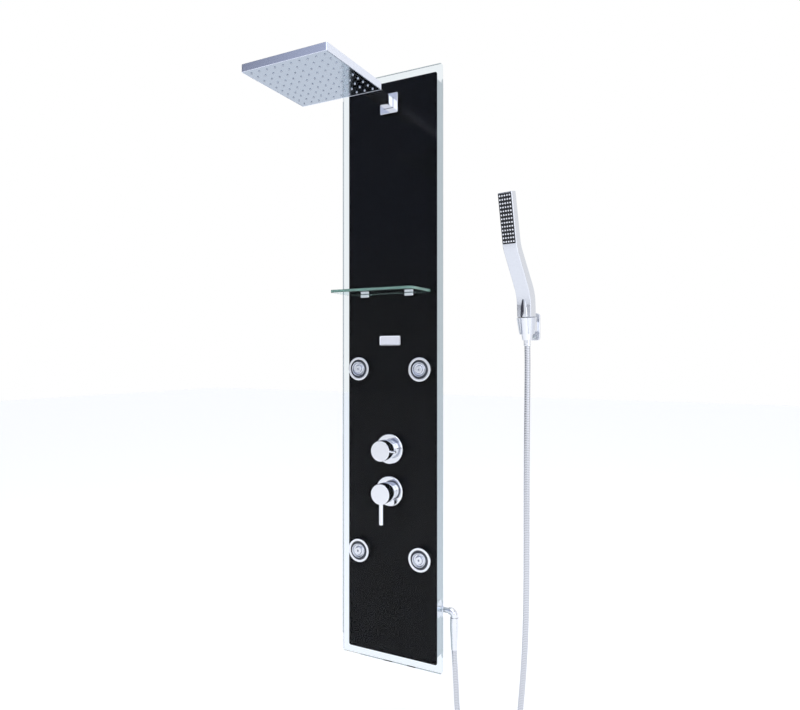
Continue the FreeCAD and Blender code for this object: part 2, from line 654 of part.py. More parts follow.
def shelf_clip(side):
    """Clip with a lower and an upper jaw round the back of the shelf."""
    x0, x1 = side * CLIP_X - CLIP_W / 2, side * CLIP_X + CLIP_W / 2
    low, high = SHELF_Z - SEATED - CLIP_LOWER, SHELF_Z + SHELF_T + SEATED + CLIP_UPPER
    front = FACE_Y - CLIP_D
    points = [
        V(x0, FACE_Y, low), V(x0, front, low), V(x0, front, SHELF_Z - SEATED),
        V(x0, FACE_Y - CLIP_BACK, SHELF_Z - SEATED),
        V(x0, FACE_Y - CLIP_BACK, SHELF_Z + SHELF_T + SEATED),
        V(x0, front, SHELF_Z + SHELF_T + SEATED), V(x0, front, high), V(x0, FACE_Y, high),
    ]
    body = Part.Face(outline(points, [0, 1.5, 0.6, 0, 0, 0.6, 1.5, 0])).extrude(V(x1 - x0, 0, 0))
    place = V(side * CLIP_X, FACE_Y, CLIP_SCREW_Z)
    return cut(body, rod(CLIP_SCREW_R + RUNNING, place, place - Y * (CLIP_THREAD + SEATED)))


def clip_screw(side):
    """Screw from behind the glass into a clip."""
    x = side * CLIP_X
    shank = rod(CLIP_SCREW_R, V(x, FACE_Y - CLIP_THREAD, CLIP_SCREW_Z), V(x, COAT_Y, CLIP_SCREW_Z))
    head = rod(CLIP_HEAD_R, V(x, COAT_Y, CLIP_SCREW_Z), V(x, COAT_Y + CLIP_HEAD_T, CLIP_SCREW_Z))
    return fuse(shank, head)


# ---------------------------------------------------------------- body jets
JET_RING_IN = JET_BALL_R + BALL_GAP
JET_RING_OUT = JET_RING_IN + JET_RING_WALL
JET_SEAT_R = JET_RING_OUT + BALL_GAP
JET_CAVITY_R = JET_SEAT_R + 0.2
JET_FLOOR = JET_CENTRE - JET_BALL_R - SEATED - 0.5


def jet_bezel():
    """Chrome ring: rounded rim, sloping land, and the spherical seat inside it."""
    step = JET_BODY_IN + SEATED
    seat_low, seat_high = step - JET_CENTRE, BEZEL_FRONT - 1.5 - JET_CENTRE
    rim_mid = (BEZEL_R + BEZEL_LAND) / 2
    return turned(
        (JET_BODY_R + SEATED, 0),
        (BEZEL_R, 0),
        (BEZEL_R, BEZEL_FRONT - 4),
        ((BEZEL_R - 0.8, BEZEL_FRONT - 1), (rim_mid, BEZEL_FRONT)),
        ((BEZEL_LAND + 0.6, BEZEL_FRONT - 1), (BEZEL_LAND, BEZEL_FRONT - 3.4)),
        (ball_radius(JET_SEAT_R, seat_high) + 0.4, BEZEL_FRONT - 4.4),
        (ball_radius(JET_SEAT_R, BEZEL_FRONT - 4.4 - JET_CENTRE), BEZEL_FRONT - 4.4),
        ball_arc(JET_SEAT_R, JET_CENTRE, BEZEL_FRONT - 4.4 - JET_CENTRE, seat_low),
        (JET_BODY_R + SEATED, step),
    )


def jet_ring():
    """Swivel ring between the bezel's seat and the nozzle ball."""
    half = JET_RING_HALF
    return turned(
        (ball_radius(JET_RING_IN, half), JET_CENTRE - half),
        (ball_radius(JET_RING_OUT, half), JET_CENTRE - half),
        ball_arc(JET_RING_OUT, JET_CENTRE, -half, half),
        (ball_radius(JET_RING_IN, half), JET_CENTRE + half),
        ball_arc(JET_RING_IN, JET_CENTRE, half, -half),
    )


def jet_nozzle():
    """Nozzle ball with a dished face, a raised hub and a water hole."""
    face, tail = JET_FACE, -JET_TAIL
    top = JET_CENTRE + face
    return turned(
        (JET_WATER_R / 2, JET_CENTRE + tail),
        (ball_radius(JET_BALL_R, tail), JET_CENTRE + tail),
        ball_arc(JET_BALL_R, JET_CENTRE, tail, face),
        (JET_DISH_R, top),
        (JET_DISH_R - JET_DISH, top - JET_DISH),
        (JET_HUB_R, top - JET_DISH),
        (JET_HUB_R - JET_DISH, top - JET_DISH + JET_HUB),
        (JET_WATER_R / 2, top - JET_DISH + JET_HUB),
    )


def jet_body():
    """Threaded body through the glass, closed behind, with the water stub."""
    floor = JET_FLOOR
    return turned(
        (JET_WATER_R, -JET_STUB_END),
        (JET_STUB_R, -JET_STUB_END),
        (JET_STUB_R, floor - JET_BODY_WALL),
        (JET_BODY_R, floor - JET_BODY_WALL),
        (JET_BODY_R, JET_BODY_IN),
        (JET_CAVITY_R, JET_BODY_IN),
        (JET_CAVITY_R, -JET_CENTRE),
        (JET_WATER_R, floor),
    )


def jet_nut():
    return lock_nut(JET_NUT_R * math.sqrt(3), JET_BODY_R + RUNNING, JET_NUT_T, BEHIND)


# ---------------------------------------------------------------- controls
def rose(sleeve=None):
    """Chrome rose on the glass, bored for the valve's neck; the diverter's has a tall sleeve."""
    bore = NECK_R + SEATED
    shoulder = (
        (ROSE_R - ROSE_EDGE * 0.3, ROSE_T - ROSE_EDGE * 0.3),
        (ROSE_R - ROSE_EDGE, ROSE_T),
    )
    rim = [(bore, 0), (ROSE_R, 0), (ROSE_R, ROSE_T - ROSE_EDGE), shoulder]
    if sleeve is None:
        return turned(*rim, (bore, ROSE_T))
    return turned(*rim, (DOME_R, ROSE_T), (DOME_R, sleeve), (bore, sleeve))


def diverter_rose():
    return rose(KNOB_REAR - 2 * SEATED)


def knob_blank(rear):
    """Plain cylinder of a knob with a softened front edge."""
    return turned(
        (0, rear),
        (KNOB_R, rear),
        (KNOB_R, KNOB_FRONT - KNOB_EDGE),
        (
            (KNOB_R - KNOB_EDGE * 0.3, KNOB_FRONT - KNOB_EDGE * 0.3),
            (KNOB_R - KNOB_EDGE, KNOB_FRONT),
        ),
        (0, KNOB_FRONT),
    )


def pin_hole(r, along, inset):
    """Radial hole for a pin that is screwed into a knob."""
    start = V(0, 0, KNOB_FRONT - LEVER_BACK)
    return rod(r, start + along * inset, start + along * (2 * KNOB_R))


def mixer_knob():
    """Lever knob, hollowed to ride over the dome, with the spindle's square socket."""
    hollow = Part.makeSphere(KNOB_HOLLOW_R, V(0, 0, PIVOT))
    side = SPINDLE + 2 * SEATED
    socket = box(-side / 2, side / 2, -side / 2, side / 2, PIVOT, SPINDLE_TOP + SEATED)
    hole = pin_hole(LEVER_R + RUNNING, -Y, KNOB_R - LEVER_IN - SEATED)
    return cut(knob_blank(KNOB_REAR), hollow, socket, hole)


def mixer_lever():
    """Pin lever that points down."""
    start = V(0, 0, KNOB_FRONT - LEVER_BACK)
    length = LEVER_IN + LEVER_OUT
    pin = turned(
        (0, 0), (LEVER_R, 0), (LEVER_R, length - 1), (LEVER_R - 1, length), (0, length)
    )
    pin.rotate(V(0, 0, 0), X, 90)
    return moved(pin, y=-(KNOB_R - LEVER_IN), z=start.z)


def mixer_dome():
    """Chrome cap over the cartridge; the knob swings round it."""
    inner = DOME_R - DOME_WALL
    mouth, inner_mouth = ball_radius(DOME_R, DOME_MOUTH_R), ball_radius(inner, DOME_MOUTH_R)
    return turned(
        (inner, ROSE_T + SEATED),
        (DOME_R, ROSE_T + SEATED),
        (DOME_R, PIVOT),
        ball_arc(DOME_R, PIVOT, 0, mouth),
        (DOME_MOUTH_R, PIVOT + inner_mouth),
        ball_arc(inner, PIVOT, inner_mouth, 0),
    )


def mixer_cartridge():
    """Ceramic-disc cartridge, open at the top for the lever carrier."""
    outer = CARTRIDGE_R
    well_r, well_floor = CARRIER_R + SEATED, CARRIER_FOOT - SEATED
    return turned(
        (0, -CARTRIDGE_DEEP), (outer, -CARTRIDGE_DEEP), (outer, CARTRIDGE_RIM),
        (well_r, CARTRIDGE_RIM), (well_r, well_floor), (0, well_floor),
    )


def mixer_carrier():
    """Turning carrier with a slot for the spindle and the pivot pin across it."""
    disc = Part.makeCylinder(CARRIER_R, CARRIER_TOP - CARRIER_FOOT, V(0, 0, CARRIER_FOOT))
    half = SPINDLE / 2 + SEATED
    slot = box(-half, half, -SLOT_HALF, SLOT_HALF, CARRIER_FOOT + 1, CARRIER_TOP + 1)
    pin = rod(PIVOT_PIN_R, V(-half - 1, 0, PIVOT), V(half + 1, 0, PIVOT))
    return fuse(cut(disc, slot), pin)


def mixer_spindle():
    """Square spindle that rocks on the pivot pin and carries the knob."""
    half = SPINDLE / 2
    bar = box(-half, half, -half, half, SPINDLE_FOOT, SPINDLE_TOP)
    return cut(bar, rod(PIVOT_PIN_R + RUNNING, V(-SPINDLE, 0, PIVOT), V(SPINDLE, 0, PIVOT)))


def diverter_knob():
    """Turning knob with a round socket for the stem and a pin hole in its side."""
    rear = KNOB_REAR
    socket = Part.makeCylinder(STEM_R + SEATED, STEM_TOP + SEATED - rear, V(0, 0, rear))
    hollow = Part.makeCylinder(NECK_R, DIVERTER_HOLLOW, V(0, 0, rear))
    hole = pin_hole(DIVERTER_PIN_R + RUNNING, X, KNOB_R - LEVER_IN - SEATED)
    return cut(knob_blank(rear), hollow, socket, hole)


def diverter_pin():
    """Short pointer pin on the diverter knob."""
    length = LEVER_IN + DIVERTER_PIN_OUT
    pin = turned(
        (0, 0), (DIVERTER_PIN_R, 0), (DIVERTER_PIN_R, length - 0.8),
        (DIVERTER_PIN_R - 0.8, length), (0, length),
    )
    pin.rotate(V(0, 0, 0), Y, 90)
    return moved(pin, x=KNOB_R - LEVER_IN, z=KNOB_FRONT - LEVER_BACK)


def diverter_cartridge():
    """Diverter cartridge with a guide for the turning stem."""
    bore = STEM_R + RUNNING
    foot = STEM_FOOT - SEATED
    return turned(
        (0, -CARTRIDGE_DEEP), (CARTRIDGE_R, -CARTRIDGE_DEEP), (CARTRIDGE_R, STEM_GUIDE_TOP),
        (bore, STEM_GUIDE_TOP), (bore, foot), (0, foot),
    )


def diverter_stem():
    return Part.makeCylinder(STEM_R, STEM_TOP - STEM_FOOT, V(0, 0, STEM_FOOT))


def valve_housing(z):
    """One cartridge housing of the valve body, its neck through the glass."""
    rear = FACE_Y + VALVE_REAR
    outer = turned(
        (CARTRIDGE_R + SEATED, NECK_OUT), (NECK_R, NECK_OUT), (NECK_R, BEHIND),
        (VALVE_R, BEHIND), (VALVE_R, rear), (0, rear),
        (0, -CARTRIDGE_DEEP - SEATED), (CARTRIDGE_R + SEATED, -CARTRIDGE_DEEP - SEATED),
    )
    return on_glass(outer, z=z)


def valve_body():
    """Cast brass body: two cartridge housings, the link between them, ports and inlets."""
    well_foot = V(0, 0, -CARTRIDGE_DEEP - SEATED)
    well = Part.makeCylinder(CARTRIDGE_R + SEATED, 2 * CARTRIDGE_DEEP, well_foot)
    wells = [on_glass(well, z=z) for z in (DIVERTER_Z, MIXER_Z)]
    pipe_z = PIPE_Y
    side_z = DIVERTER_Z - SIDE_PORT_DROP
    parts = [
        valve_housing(MIXER_Z),
        rod(LINK_R, V(0, pipe_z, DIVERTER_Z), V(0, pipe_z, MIXER_Z)),
        rod(PORT_R, V(0, pipe_z, DIVERTER_Z), V(0, pipe_z, DIVERTER_Z + PORT_END)),
        rod(PORT_R, V(-PORT_END, pipe_z, DIVERTER_Z), V(PORT_END, pipe_z, DIVERTER_Z)),
        rod(PORT_R, V(0, pipe_z, side_z), V(PORT_END, pipe_z, side_z)),
        rod(PORT_R, V(-INLET_X, pipe_z, MIXER_Z), V(INLET_X, pipe_z, MIXER_Z)),
    ]
    nipple_end = MIXER_Z - INLET_DROP
    thread_top = nipple_end + INLET_THREAD
    bores = []
    for x in (-INLET_X, INLET_X):
        parts.append(rod(INLET_NECK_R, V(x, pipe_z, MIXER_Z + PORT_R), V(x, pipe_z, thread_top)))
        parts.append(rod(INLET_R, V(x, pipe_z, thread_top), V(x, pipe_z, nipple_end)))
        bores.append(rod(INLET_BORE_R, V(x, pipe_z, MIXER_Z - PORT_R), V(x, pipe_z, nipple_end)))
    body = fuse(valve_housing(DIVERTER_Z), *parts)
    return cut(body, *wells, *bores)


# ---------------------------------------------------------------- water pipes
def riser_pipe():
    """Straight pipe from the diverter up to the arm's elbow."""
    foot = DIVERTER_Z + PORT_END
    top = ARM_Z - 2 * ARM_ELBOW_R
    return rod(PIPE_R, V(0, PIPE_Y, foot), V(0, PIPE_Y, top))


def jet_pipe(side):
    """Feed from the diverter to the upper and lower jet of one side, with tees."""
    x = side * JET_X
    stub_end = FACE_Y + JET_STUB_END
    parts = [rod(PIPE_R, V(side * PORT_END, PIPE_Y, DIVERTER_Z), V(x, PIPE_Y, DIVERTER_Z))]
    for z in (JET_UPPER_Z, JET_LOWER_Z):
        parts.append(rod(JET_STUB_R, V(x, stub_end, z), V(x, PIPE_Y, z)))
    for z in (JET_UPPER_Z, DIVERTER_Z, JET_LOWER_Z):
        parts.append(rod(TEE_R, V(x, PIPE_Y, z - TEE_R), V(x, PIPE_Y, z + TEE_R)))
    riser = rod(PIPE_R, V(x, PIPE_Y, JET_LOWER_Z), V(x, PIPE_Y, JET_UPPER_Z))
    return fuse(riser, *parts)


def outlet_pipe():
    """Pipe from the diverter's side port down to the hose outlet."""
    z = DIVERTER_Z - SIDE_PORT_DROP
    end_x = FRAME_W / 2 - SHEET - SEATED
    points = [
        V(PORT_END, PIPE_Y, z),
        V(OUTLET_PIPE_X, PIPE_Y, z),
        V(OUTLET_PIPE_X, PIPE_Y, OUTLET_Z),
        V(end_x, PIPE_Y, OUTLET_Z),
    ]
    return tube(points, PIPE_R, [0, PIPE_BEND, PIPE_BEND, 0])


# ---------------------------------------------------------------- side outlet and hose
def sideways(shape):
    """Turns a shape modelled about +Z onto the outlet's axis, height 0 on the frame's side."""
    shape = shape.copy()
    shape.rotate(V(0, 0, 0), Y, 90)
    shape.translate(V(FRAME_W / 2, PIPE_Y, OUTLET_Z))
    return shape


def outlet_rose():
    bore = NIPPLE_R + SEATED
    return sideways(turned(
        (bore, 0), (OUTLET_ROSE_R, 0), (OUTLET_ROSE_R, OUTLET_ROSE_T - 1),
        (OUTLET_ROSE_R - 1, OUTLET_ROSE_T), (bore, OUTLET_ROSE_T),
    ))


def outlet_elbow():
    """Nipple through the frame, a round knee and the threaded leg for the hose."""
    nipple = sideways(Part.makeCylinder(NIPPLE_R, OUTLET_REACH + SHEET, V(0, 0, -SHEET)))
    knee = Part.makeSphere(ELBOW_R, V(OUTLET_X, PIPE_Y, OUTLET_Z))
    leg = rod(ELBOW_LEG_R, V(OUTLET_X, PIPE_Y, OUTLET_Z), V(OUTLET_X, PIPE_Y, ELBOW_FOOT_Z))
    collar = sideways(Part.makeCylinder(ELBOW_LEG_R, ELBOW_R, V(0, 0, OUTLET_REACH - 1.6 * ELBOW_R)))
    return fuse(nipple, knee, leg, collar)


def elbow_hose_nut():
    """Long tapered nut at the outlet end of the hose."""
    top, foot = ELBOW_FOOT_Z - SEATED, HOSE_START_Z
    shoulder = top - HOSE_NUT_L / 3
    shape = turned(
        (0, foot), (HOSE_NUT_END_R, foot), (HOSE_NUT_END_R, foot + HOSE_NUT_L / 4),
        (HOSE_NUT_TOP_R, shoulder), (HOSE_NUT_TOP_R, top), (0, top),
    )
    return moved(shape, x=OUTLET_X, y=PIPE_Y)


def shower_hose():
    return tube(HOSE_ROUTE, HOSE_R, bend_radii(HOSE_ROUTE))


# ---------------------------------------------------------------- hand shower and holder
def at_holder(shape):
    """Tilts a shape modelled about the Z axis with the cup and puts it on the holder's place."""
    shape = shape.copy()
    shape.rotate(V(0, 0, CUP_TOP_Z), X, HOLDER_TILT)
    return moved(shape, x=HOLDER_X, y=-HOLDER_OFF)


def cone_radius(z):
    """Outside of the cone nut at a height."""
    share = (CONE_TOP_Z - z) / CONE_L
    return CONE_TOP_R + (CONE_END_R - CONE_TOP_R) * share


def handset_nut():
    """Cone nut that hangs in the cup; the hose's ferrule turns in its lower bore."""
    foot = CONE_TOP_Z - CONE_L
    neck_floor = CONE_TOP_Z - HAND_NECK_L
    shape = turned(
        (FERRULE_R + SEATED, foot), (CONE_END_R, foot), (CONE_TOP_R, CONE_TOP_Z),
        (HAND_NECK_R + RUNNING, CONE_TOP_Z), (HAND_NECK_R + RUNNING, neck_floor),
        (FERRULE_R + SEATED, neck_floor),
    )
    return at_holder(shape)


def handset_ferrule():
    """Crimped end of the hose, free to turn inside the cone nut."""
    foot = HOSE_END_Z
    shape = turned((0, foot), (FERRULE_R, foot), (FERRULE_R, FERRULE_TOP_Z), (0, FERRULE_TOP_Z))
    return at_holder(shape)


def holder_cup():
    """Slotted cone cup on a short bridge from the wall plate."""
    foot = CUP_TOP_Z - CUP_H
    cup = turned((0, foot), (CUP_END_R, foot), (CUP_TOP_R, CUP_TOP_Z), (0, CUP_TOP_Z))
    bridge_z = (foot + CUP_TOP_Z) / 2
    bridge = box(
        HOLDER_X - BRIDGE_W / 2, HOLDER_X + BRIDGE_W / 2, -HOLDER_OFF, -PLATE_T,
        bridge_z - BRIDGE_H / 2, bridge_z + BRIDGE_H / 2,
    )
    inner = turned(
        (0, foot - 1), (cone_radius(foot - 1) + CUP_GAP, foot - 1),
        (cone_radius(CUP_TOP_Z + 1) + CUP_GAP, CUP_TOP_Z + 1), (0, CUP_TOP_Z + 1),
    )
    slot = box(-CUP_SLOT / 2, CUP_SLOT / 2, -2 * CUP_TOP_R, 0, foot - 1, CUP_TOP_Z + 1)
    return cut(fuse(at_holder(cup), bridge), at_holder(inner), at_holder(slot))


def holder_plate():
    """Wall plate of the holder with a screw hole above and below the bridge."""
    holes = [circle(PLATE_HOLE_R, 0, side * PLATE_HOLE_PITCH / 2) for side in (-1, 1)]
    body = plate(PLATE_W, PLATE_H, PLATE_CORNER, 0, PLATE_T, holes)
    body.rotate(V(0, 0, 0), X, 90)
    return moved(body, x=HOLDER_X, z=CUP_TOP_Z - CUP_H / 2)


def hand_spine():
    """Side view of the handset's middle line: forward and height above its foot."""
    return [(0.0, 0.0), (0.0, HAND_KNEE_Z), (HAND_HIP_D, HAND_HIP_Z), (HAND_TIP_D, HAND_TIP_Z)]


def hand_edges():
    """Front and back corner points of the handset's side view, as lists of (forward, height)."""
    spine = hand_spine()
    thick = [HAND_FOOT_T, HAND_FOOT_T, HAND_HIP_T, HAND_TIP_T]
    front, back = [], []
    for i, (d, z) in enumerate(spine):
        before, after = spine[max(i - 1, 0)], spine[min(i + 1, len(spine) - 1)]
        lean = math.atan2(after[0] - before[0], after[1] - before[1])
        if 0 < i < len(spine) - 1:
            into = math.atan2(d - before[0], z - before[1])
            out = math.atan2(after[0] - d, after[1] - z)
            lean = (into + out) / 2
        across, up = math.cos(lean) * thick[i] / 2, -math.sin(lean) * thick[i] / 2
        front.append((d + across, z + up))
        back.append((d - across, z - up))
    return front, back


def hand_point(p, x=0.0):
    return V(x, -p[0], p[1])


def hand_place(shape):
    """Turns the handset in the cup and sets it on the cone nut."""
    shape = shape.copy()
    shape.rotate(V(0, 0, 0), Z, HAND_TURN)
    return at_holder(moved(shape, z=HAND_FOOT_Z))


def spray_frame():
    """Middle of the spray face on the handset's front, its direction up the face and outward."""
    front, _ = hand_edges()
    low, high = hand_point(front[2]), hand_point(front[3])
    up = (high - low).normalize()
    out = X.cross(up) * -1
    if out.y > 0:
        out = out * -1
    middle = high - up * (SPRAY_END + SPRAY_L / 2)
    return middle, up, out


def on_spray(shape):
    """Puts a shape modelled about the XY plane, outward +Z and up +Y, onto the spray face."""
    middle, up, out = spray_frame()
    across = up.cross(out)
    matrix = FreeCAD.Matrix(
        across.x, up.x, out.x, middle.x,
        across.y, up.y, out.y, middle.y,
        across.z, up.z, out.z, middle.z,
        0, 0, 0, 1,
    )
    shape = shape.copy()
    shape.Placement = FreeCAD.Placement(matrix).multiply(shape.Placement)
    return shape


def handset_body():
    """Flat, twice-bent stick with rounded edges, a pocket for the spray face and a threaded neck."""
    front, back = hand_edges()
    half = HAND_W / 2
    points = [hand_point(p, -half) for p in front + back[::-1]]
    radii = [0, HAND_KNEE_R, HAND_HIP_R, HAND_TIP_R, HAND_TIP_R, HAND_HIP_R, HAND_KNEE_R, 0]
    body = Part.Face(outline(points, radii)).extrude(V(HAND_W, 0, 0))
    sides = [
        e
        for e in body.Edges
        if e.BoundBox.XLength < 1e-6 and e.BoundBox.ZMax > 1e-3
    ]
    body = body.makeFillet(HAND_EDGE_R, sides)
    pocket = plate(SPRAY_W + 2 * SEATED, SPRAY_L + 2 * SEATED, 1.5, SPRAY_PROUD - SPRAY_T, SPRAY_T)
    neck = Part.makeCylinder(HAND_NECK_R, HAND_NECK_L, V(0, 0, SEATED - HAND_NECK_L))
    return hand_place(fuse(cut(body, on_spray(pocket)), neck))


def handset_spray_face():
    """Dark spray plate with rows of small tips."""
    front = SPRAY_PROUD
    plate_body = plate(SPRAY_W, SPRAY_L, 1.2, SPRAY_PROUD - SPRAY_T, front)
    pitch_x = SPRAY_W / (SPRAY_COLS + 0.2)
    pitch_y = SPRAY_L / (SPRAY_ROWS + 0.2)
    tips = [
        Part.makeLoft(
            [hexagon(SPRAY_TIP_R, x, y, front), hexagon(SPRAY_TIP_R * 0.75, x, y, front + SPRAY_TIP)],
            True, True,
        )
        for x, y in nozzle_places(SPRAY_COLS, SPRAY_ROWS, pitch_x, pitch_y)
    ]
    return hand_place(on_spray(plate_body.fuse(tips)))


# ---------------------------------------------------------------- the pieces
def on_panel(make, z):
    return lambda: on_glass(make(), z=z)


def both(make):
    return lambda: group([make(-1), make(1)])


def four(make):
    return lambda: group(on_glass(make(), x, z) for x, z in JETS.values())


def one_jet(make, place):
    return lambda: on_glass(make(), *JETS[place])


PIECES = {
    "glass_panel": glass_panel,
    "black_coat": black_coat,
    "left_rail": lambda: side_rail(-1),
    "right_rail": lambda: side_rail(1),
    "end_rails": both(end_rail),
    "back_straps": back_straps,
    "wall_bracket": wall_bracket,
    "hanger_bar": hanger_bar,
    "badge_plate": badge_plate,
    "arm_flange": arm_flange,
    "shower_arm": shower_arm,
    "arm_nut": arm_nut,
    "arm_elbow": arm_elbow,
    "arm_ball": arm_ball,
    "head_seat": head_seat,
    "head_seat_ring": head_seat_ring,
    "head_collar": head_collar,
    "head_shell": head_shell,
    "head_faceplate": head_faceplate,
    "head_nozzles": head_nozzles,
    "shelf_glass": shelf_glass,
    "shelf_clips": both(shelf_clip),
    "shelf_clip_screws": both(clip_screw),
    "jet_bezels": four(jet_bezel),
    "jet_bodies": four(jet_body),
    "jet_nuts": four(jet_nut),
    **{f"jet_ring_{place}": one_jet(jet_ring, place) for place in JETS},
    **{f"jet_nozzle_{place}": one_jet(jet_nozzle, place) for place in JETS},
    "diverter_rose": on_panel(diverter_rose, DIVERTER_Z),
    "diverter_cartridge": on_panel(diverter_cartridge, DIVERTER_Z),
    "diverter_stem": on_panel(diverter_stem, DIVERTER_Z),
    "diverter_knob": on_panel(diverter_knob, DIVERTER_Z),
    "diverter_pin": on_panel(diverter_pin, DIVERTER_Z),
    "mixer_rose": on_panel(rose, MIXER_Z),
    "mixer_dome": on_panel(mixer_dome, MIXER_Z),
    "mixer_cartridge": on_panel(mixer_cartridge, MIXER_Z),
    "mixer_carrier": on_panel(mixer_carrier, MIXER_Z),
    "mixer_spindle": on_panel(mixer_spindle, MIXER_Z),
    "mixer_knob": on_panel(mixer_knob, MIXER_Z),
    "mixer_lever": on_panel(mixer_lever, MIXER_Z),
    "valve_body": valve_body,
    "riser_pipe": riser_pipe,
    "jet_pipes": both(jet_pipe),
    "outlet_pipe": outlet_pipe,
    "outlet_rose": outlet_rose,
    "outlet_elbow": outlet_elbow,
    "elbow_hose_nut": elbow_hose_nut,
    "shower_hose": shower_hose,
    "handset_ferrule": handset_ferrule,
    "handset_nut": handset_nut,
    "handset_body": handset_body,
    "handset_spray_face": handset_spray_face,
    "holder_cup": holder_cup,
    "holder_plate": holder_plate,
}


def main():
    os.makedirs("parts", exist_ok=True)
    for name, make in PIECES.items():
        shape = make()
        if not shape.isValid() or shape.Volume <= 0:
            raise RuntimeError(f"{name} isn't a valid solid")
        shape.exportStep(f"parts/{name}.step")
    radii = bend_radii(HOSE_ROUTE)
    length = sum(e.Length for e in rounded(HOSE_ROUTE, radii))
    overall = length + HOSE_NUT_L + CONE_TOP_Z - HOSE_END_Z
    print(f"hose {length:.1f} mm, {overall:.1f} over its nuts, tightest bend {min(radii[1:-1]):.0f}")
    print([[round(v, 1) for v in point] for point in HOSE_ROUTE])


main()
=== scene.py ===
"""Looks of a wall-hung glass shower panel: chrome fittings, black-backed glass and hand shower.

Laid out as an add-on and run as a script. Everything is in metres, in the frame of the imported
model: +X right along the wall, +Y into the wall, +Z up. Sizes in millimetres go through mm().
"""

import json
import math

import bmesh
import bpy
from mathutils import Matrix, Vector

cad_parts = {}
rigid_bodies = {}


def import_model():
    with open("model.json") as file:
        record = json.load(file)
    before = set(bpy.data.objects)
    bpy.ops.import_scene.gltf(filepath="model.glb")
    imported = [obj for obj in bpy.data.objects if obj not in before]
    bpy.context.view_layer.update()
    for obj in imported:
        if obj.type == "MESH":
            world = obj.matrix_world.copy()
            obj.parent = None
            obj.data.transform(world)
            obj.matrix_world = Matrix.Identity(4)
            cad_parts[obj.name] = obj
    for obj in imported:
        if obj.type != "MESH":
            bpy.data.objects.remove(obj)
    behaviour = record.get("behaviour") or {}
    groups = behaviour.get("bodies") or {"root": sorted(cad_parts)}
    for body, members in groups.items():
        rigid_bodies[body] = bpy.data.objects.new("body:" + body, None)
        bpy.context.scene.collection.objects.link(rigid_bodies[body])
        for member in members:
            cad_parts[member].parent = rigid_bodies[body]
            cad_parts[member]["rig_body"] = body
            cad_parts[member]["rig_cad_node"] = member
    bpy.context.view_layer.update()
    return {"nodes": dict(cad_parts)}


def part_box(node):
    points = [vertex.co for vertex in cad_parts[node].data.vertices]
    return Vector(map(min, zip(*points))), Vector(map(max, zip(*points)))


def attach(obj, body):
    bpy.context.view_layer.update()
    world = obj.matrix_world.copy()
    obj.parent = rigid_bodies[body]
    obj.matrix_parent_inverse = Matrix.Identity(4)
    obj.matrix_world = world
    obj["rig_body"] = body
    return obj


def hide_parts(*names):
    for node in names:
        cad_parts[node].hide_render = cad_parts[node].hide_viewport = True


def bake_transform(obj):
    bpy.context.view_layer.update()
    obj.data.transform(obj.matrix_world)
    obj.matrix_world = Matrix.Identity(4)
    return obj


bl_info = {
    "name": "Glass Shower Panel",
    "version": (1, 0, 0),
    "blender": (4, 5, 0),
    "location": "View3D > Sidebar > Shower Panel",
    "description": "Builds the finish and the fine shapes of a glass shower panel",
    "category": "Object",
}

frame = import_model()
NODES = frame["nodes"]

QUARTER = math.radians(90)
UPRIGHT = (0, 0, 0)
OUT = (QUARTER, 0, 0)  # turns a piece made along +Z to face the room
ALONG_WALL = (0, QUARTER, 0)  # turns it to face right, along the wall
DOWN = (2 * QUARTER, 0, 0)
JET_PLACES = ("upper_left", "upper_right", "lower_left", "lower_right")


def mm(value):
    return value / 1000


def in_mm(value):
    return value * 1000


def middle(node):
    low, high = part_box(node)
    return (low + high) / 2


def foot(node):
    """Middle of a node's underside."""
    centre = middle(node)
    return Vector((centre.x, centre.y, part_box(node)[0].z))


def rear(node):
    """Middle of a node's rear face, and the node's size."""
    low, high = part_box(node)
    centre = middle(node)
    return Vector((centre.x, high.y, centre.z)), high - low


GLASS_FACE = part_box("glass_panel")[0].y


# ---- sizes and colours
def length(name, description, value, low, high):
    return bpy.props.FloatProperty(
        name=name, description=description, default=mm(value), min=mm(low), max=mm(high),
        unit="LENGTH",
    )


def number(name, description, value, low, high):
    return bpy.props.IntProperty(
        name=name, description=description, default=value, min=low, max=high
    )


def paint(name, description, value):
    return bpy.props.StringProperty(name=name, description=description, default=value)


class ShowerPanelSizes(bpy.types.PropertyGroup):
    """Sizes that the CAD nodes don't give by themselves."""

    edge: length("Polished Edge", "Rounding of the edges of a turned piece", 0.45, 0.1, 2)
    turns: number("Turning Steps", "Faces around a turned piece", 72, 24, 160)
    hose_diameter: length("Hose Diameter", "Outside diameter of the hose", 12, 8, 20)
    hose_pitch: length("Hose Pitch", "Length of one turn of the hose's wound strip", 3.4, 1.5, 8)
    nozzle_pitch: length("Nozzle Pitch", "Distance between the rain head's nozzles", 17.4, 8, 30)
    nozzle_rows: number("Nozzle Rows", "Rows of nozzles on the rain head", 10, 4, 14)


class ShowerPanelColours(bpy.types.PropertyGroup):
    """Colours, as sRGB hex."""

    chrome: paint("Chrome", "Polished chrome plate", "#E3E5EA")
    plated: paint("Plated Plastic", "Chrome plate on moulded plastic", "#D7DAE1")
    satin_chrome: paint("Satin Chrome", "Satin chrome on the rain head's sides", "#E4E9F6")
    glass: paint("Glass", "Tint of the clear glass", "#EDF3F6")
    coat: paint("Black Coat", "Paint on the back of the glass", "#0B0B0F")
    stainless: paint("Stainless", "Brushed stainless sheet", "#C3CACD")
    brass: paint("Brass", "Cast brass", "#C2A25C")
    nylon: paint("Nylon", "White nylon", "#E4E3DC")
    silicone: paint("Silicone", "Nozzle silicone", "#B4BBC7")
    white_silicone: paint("White Silicone", "Hand shower nozzles", "#F2F4F8")
    rubber: paint("Black Rubber", "Spray pad", "#16181D")
    floor: paint("Floor", "Pale studio floor", "#F4F5F6")


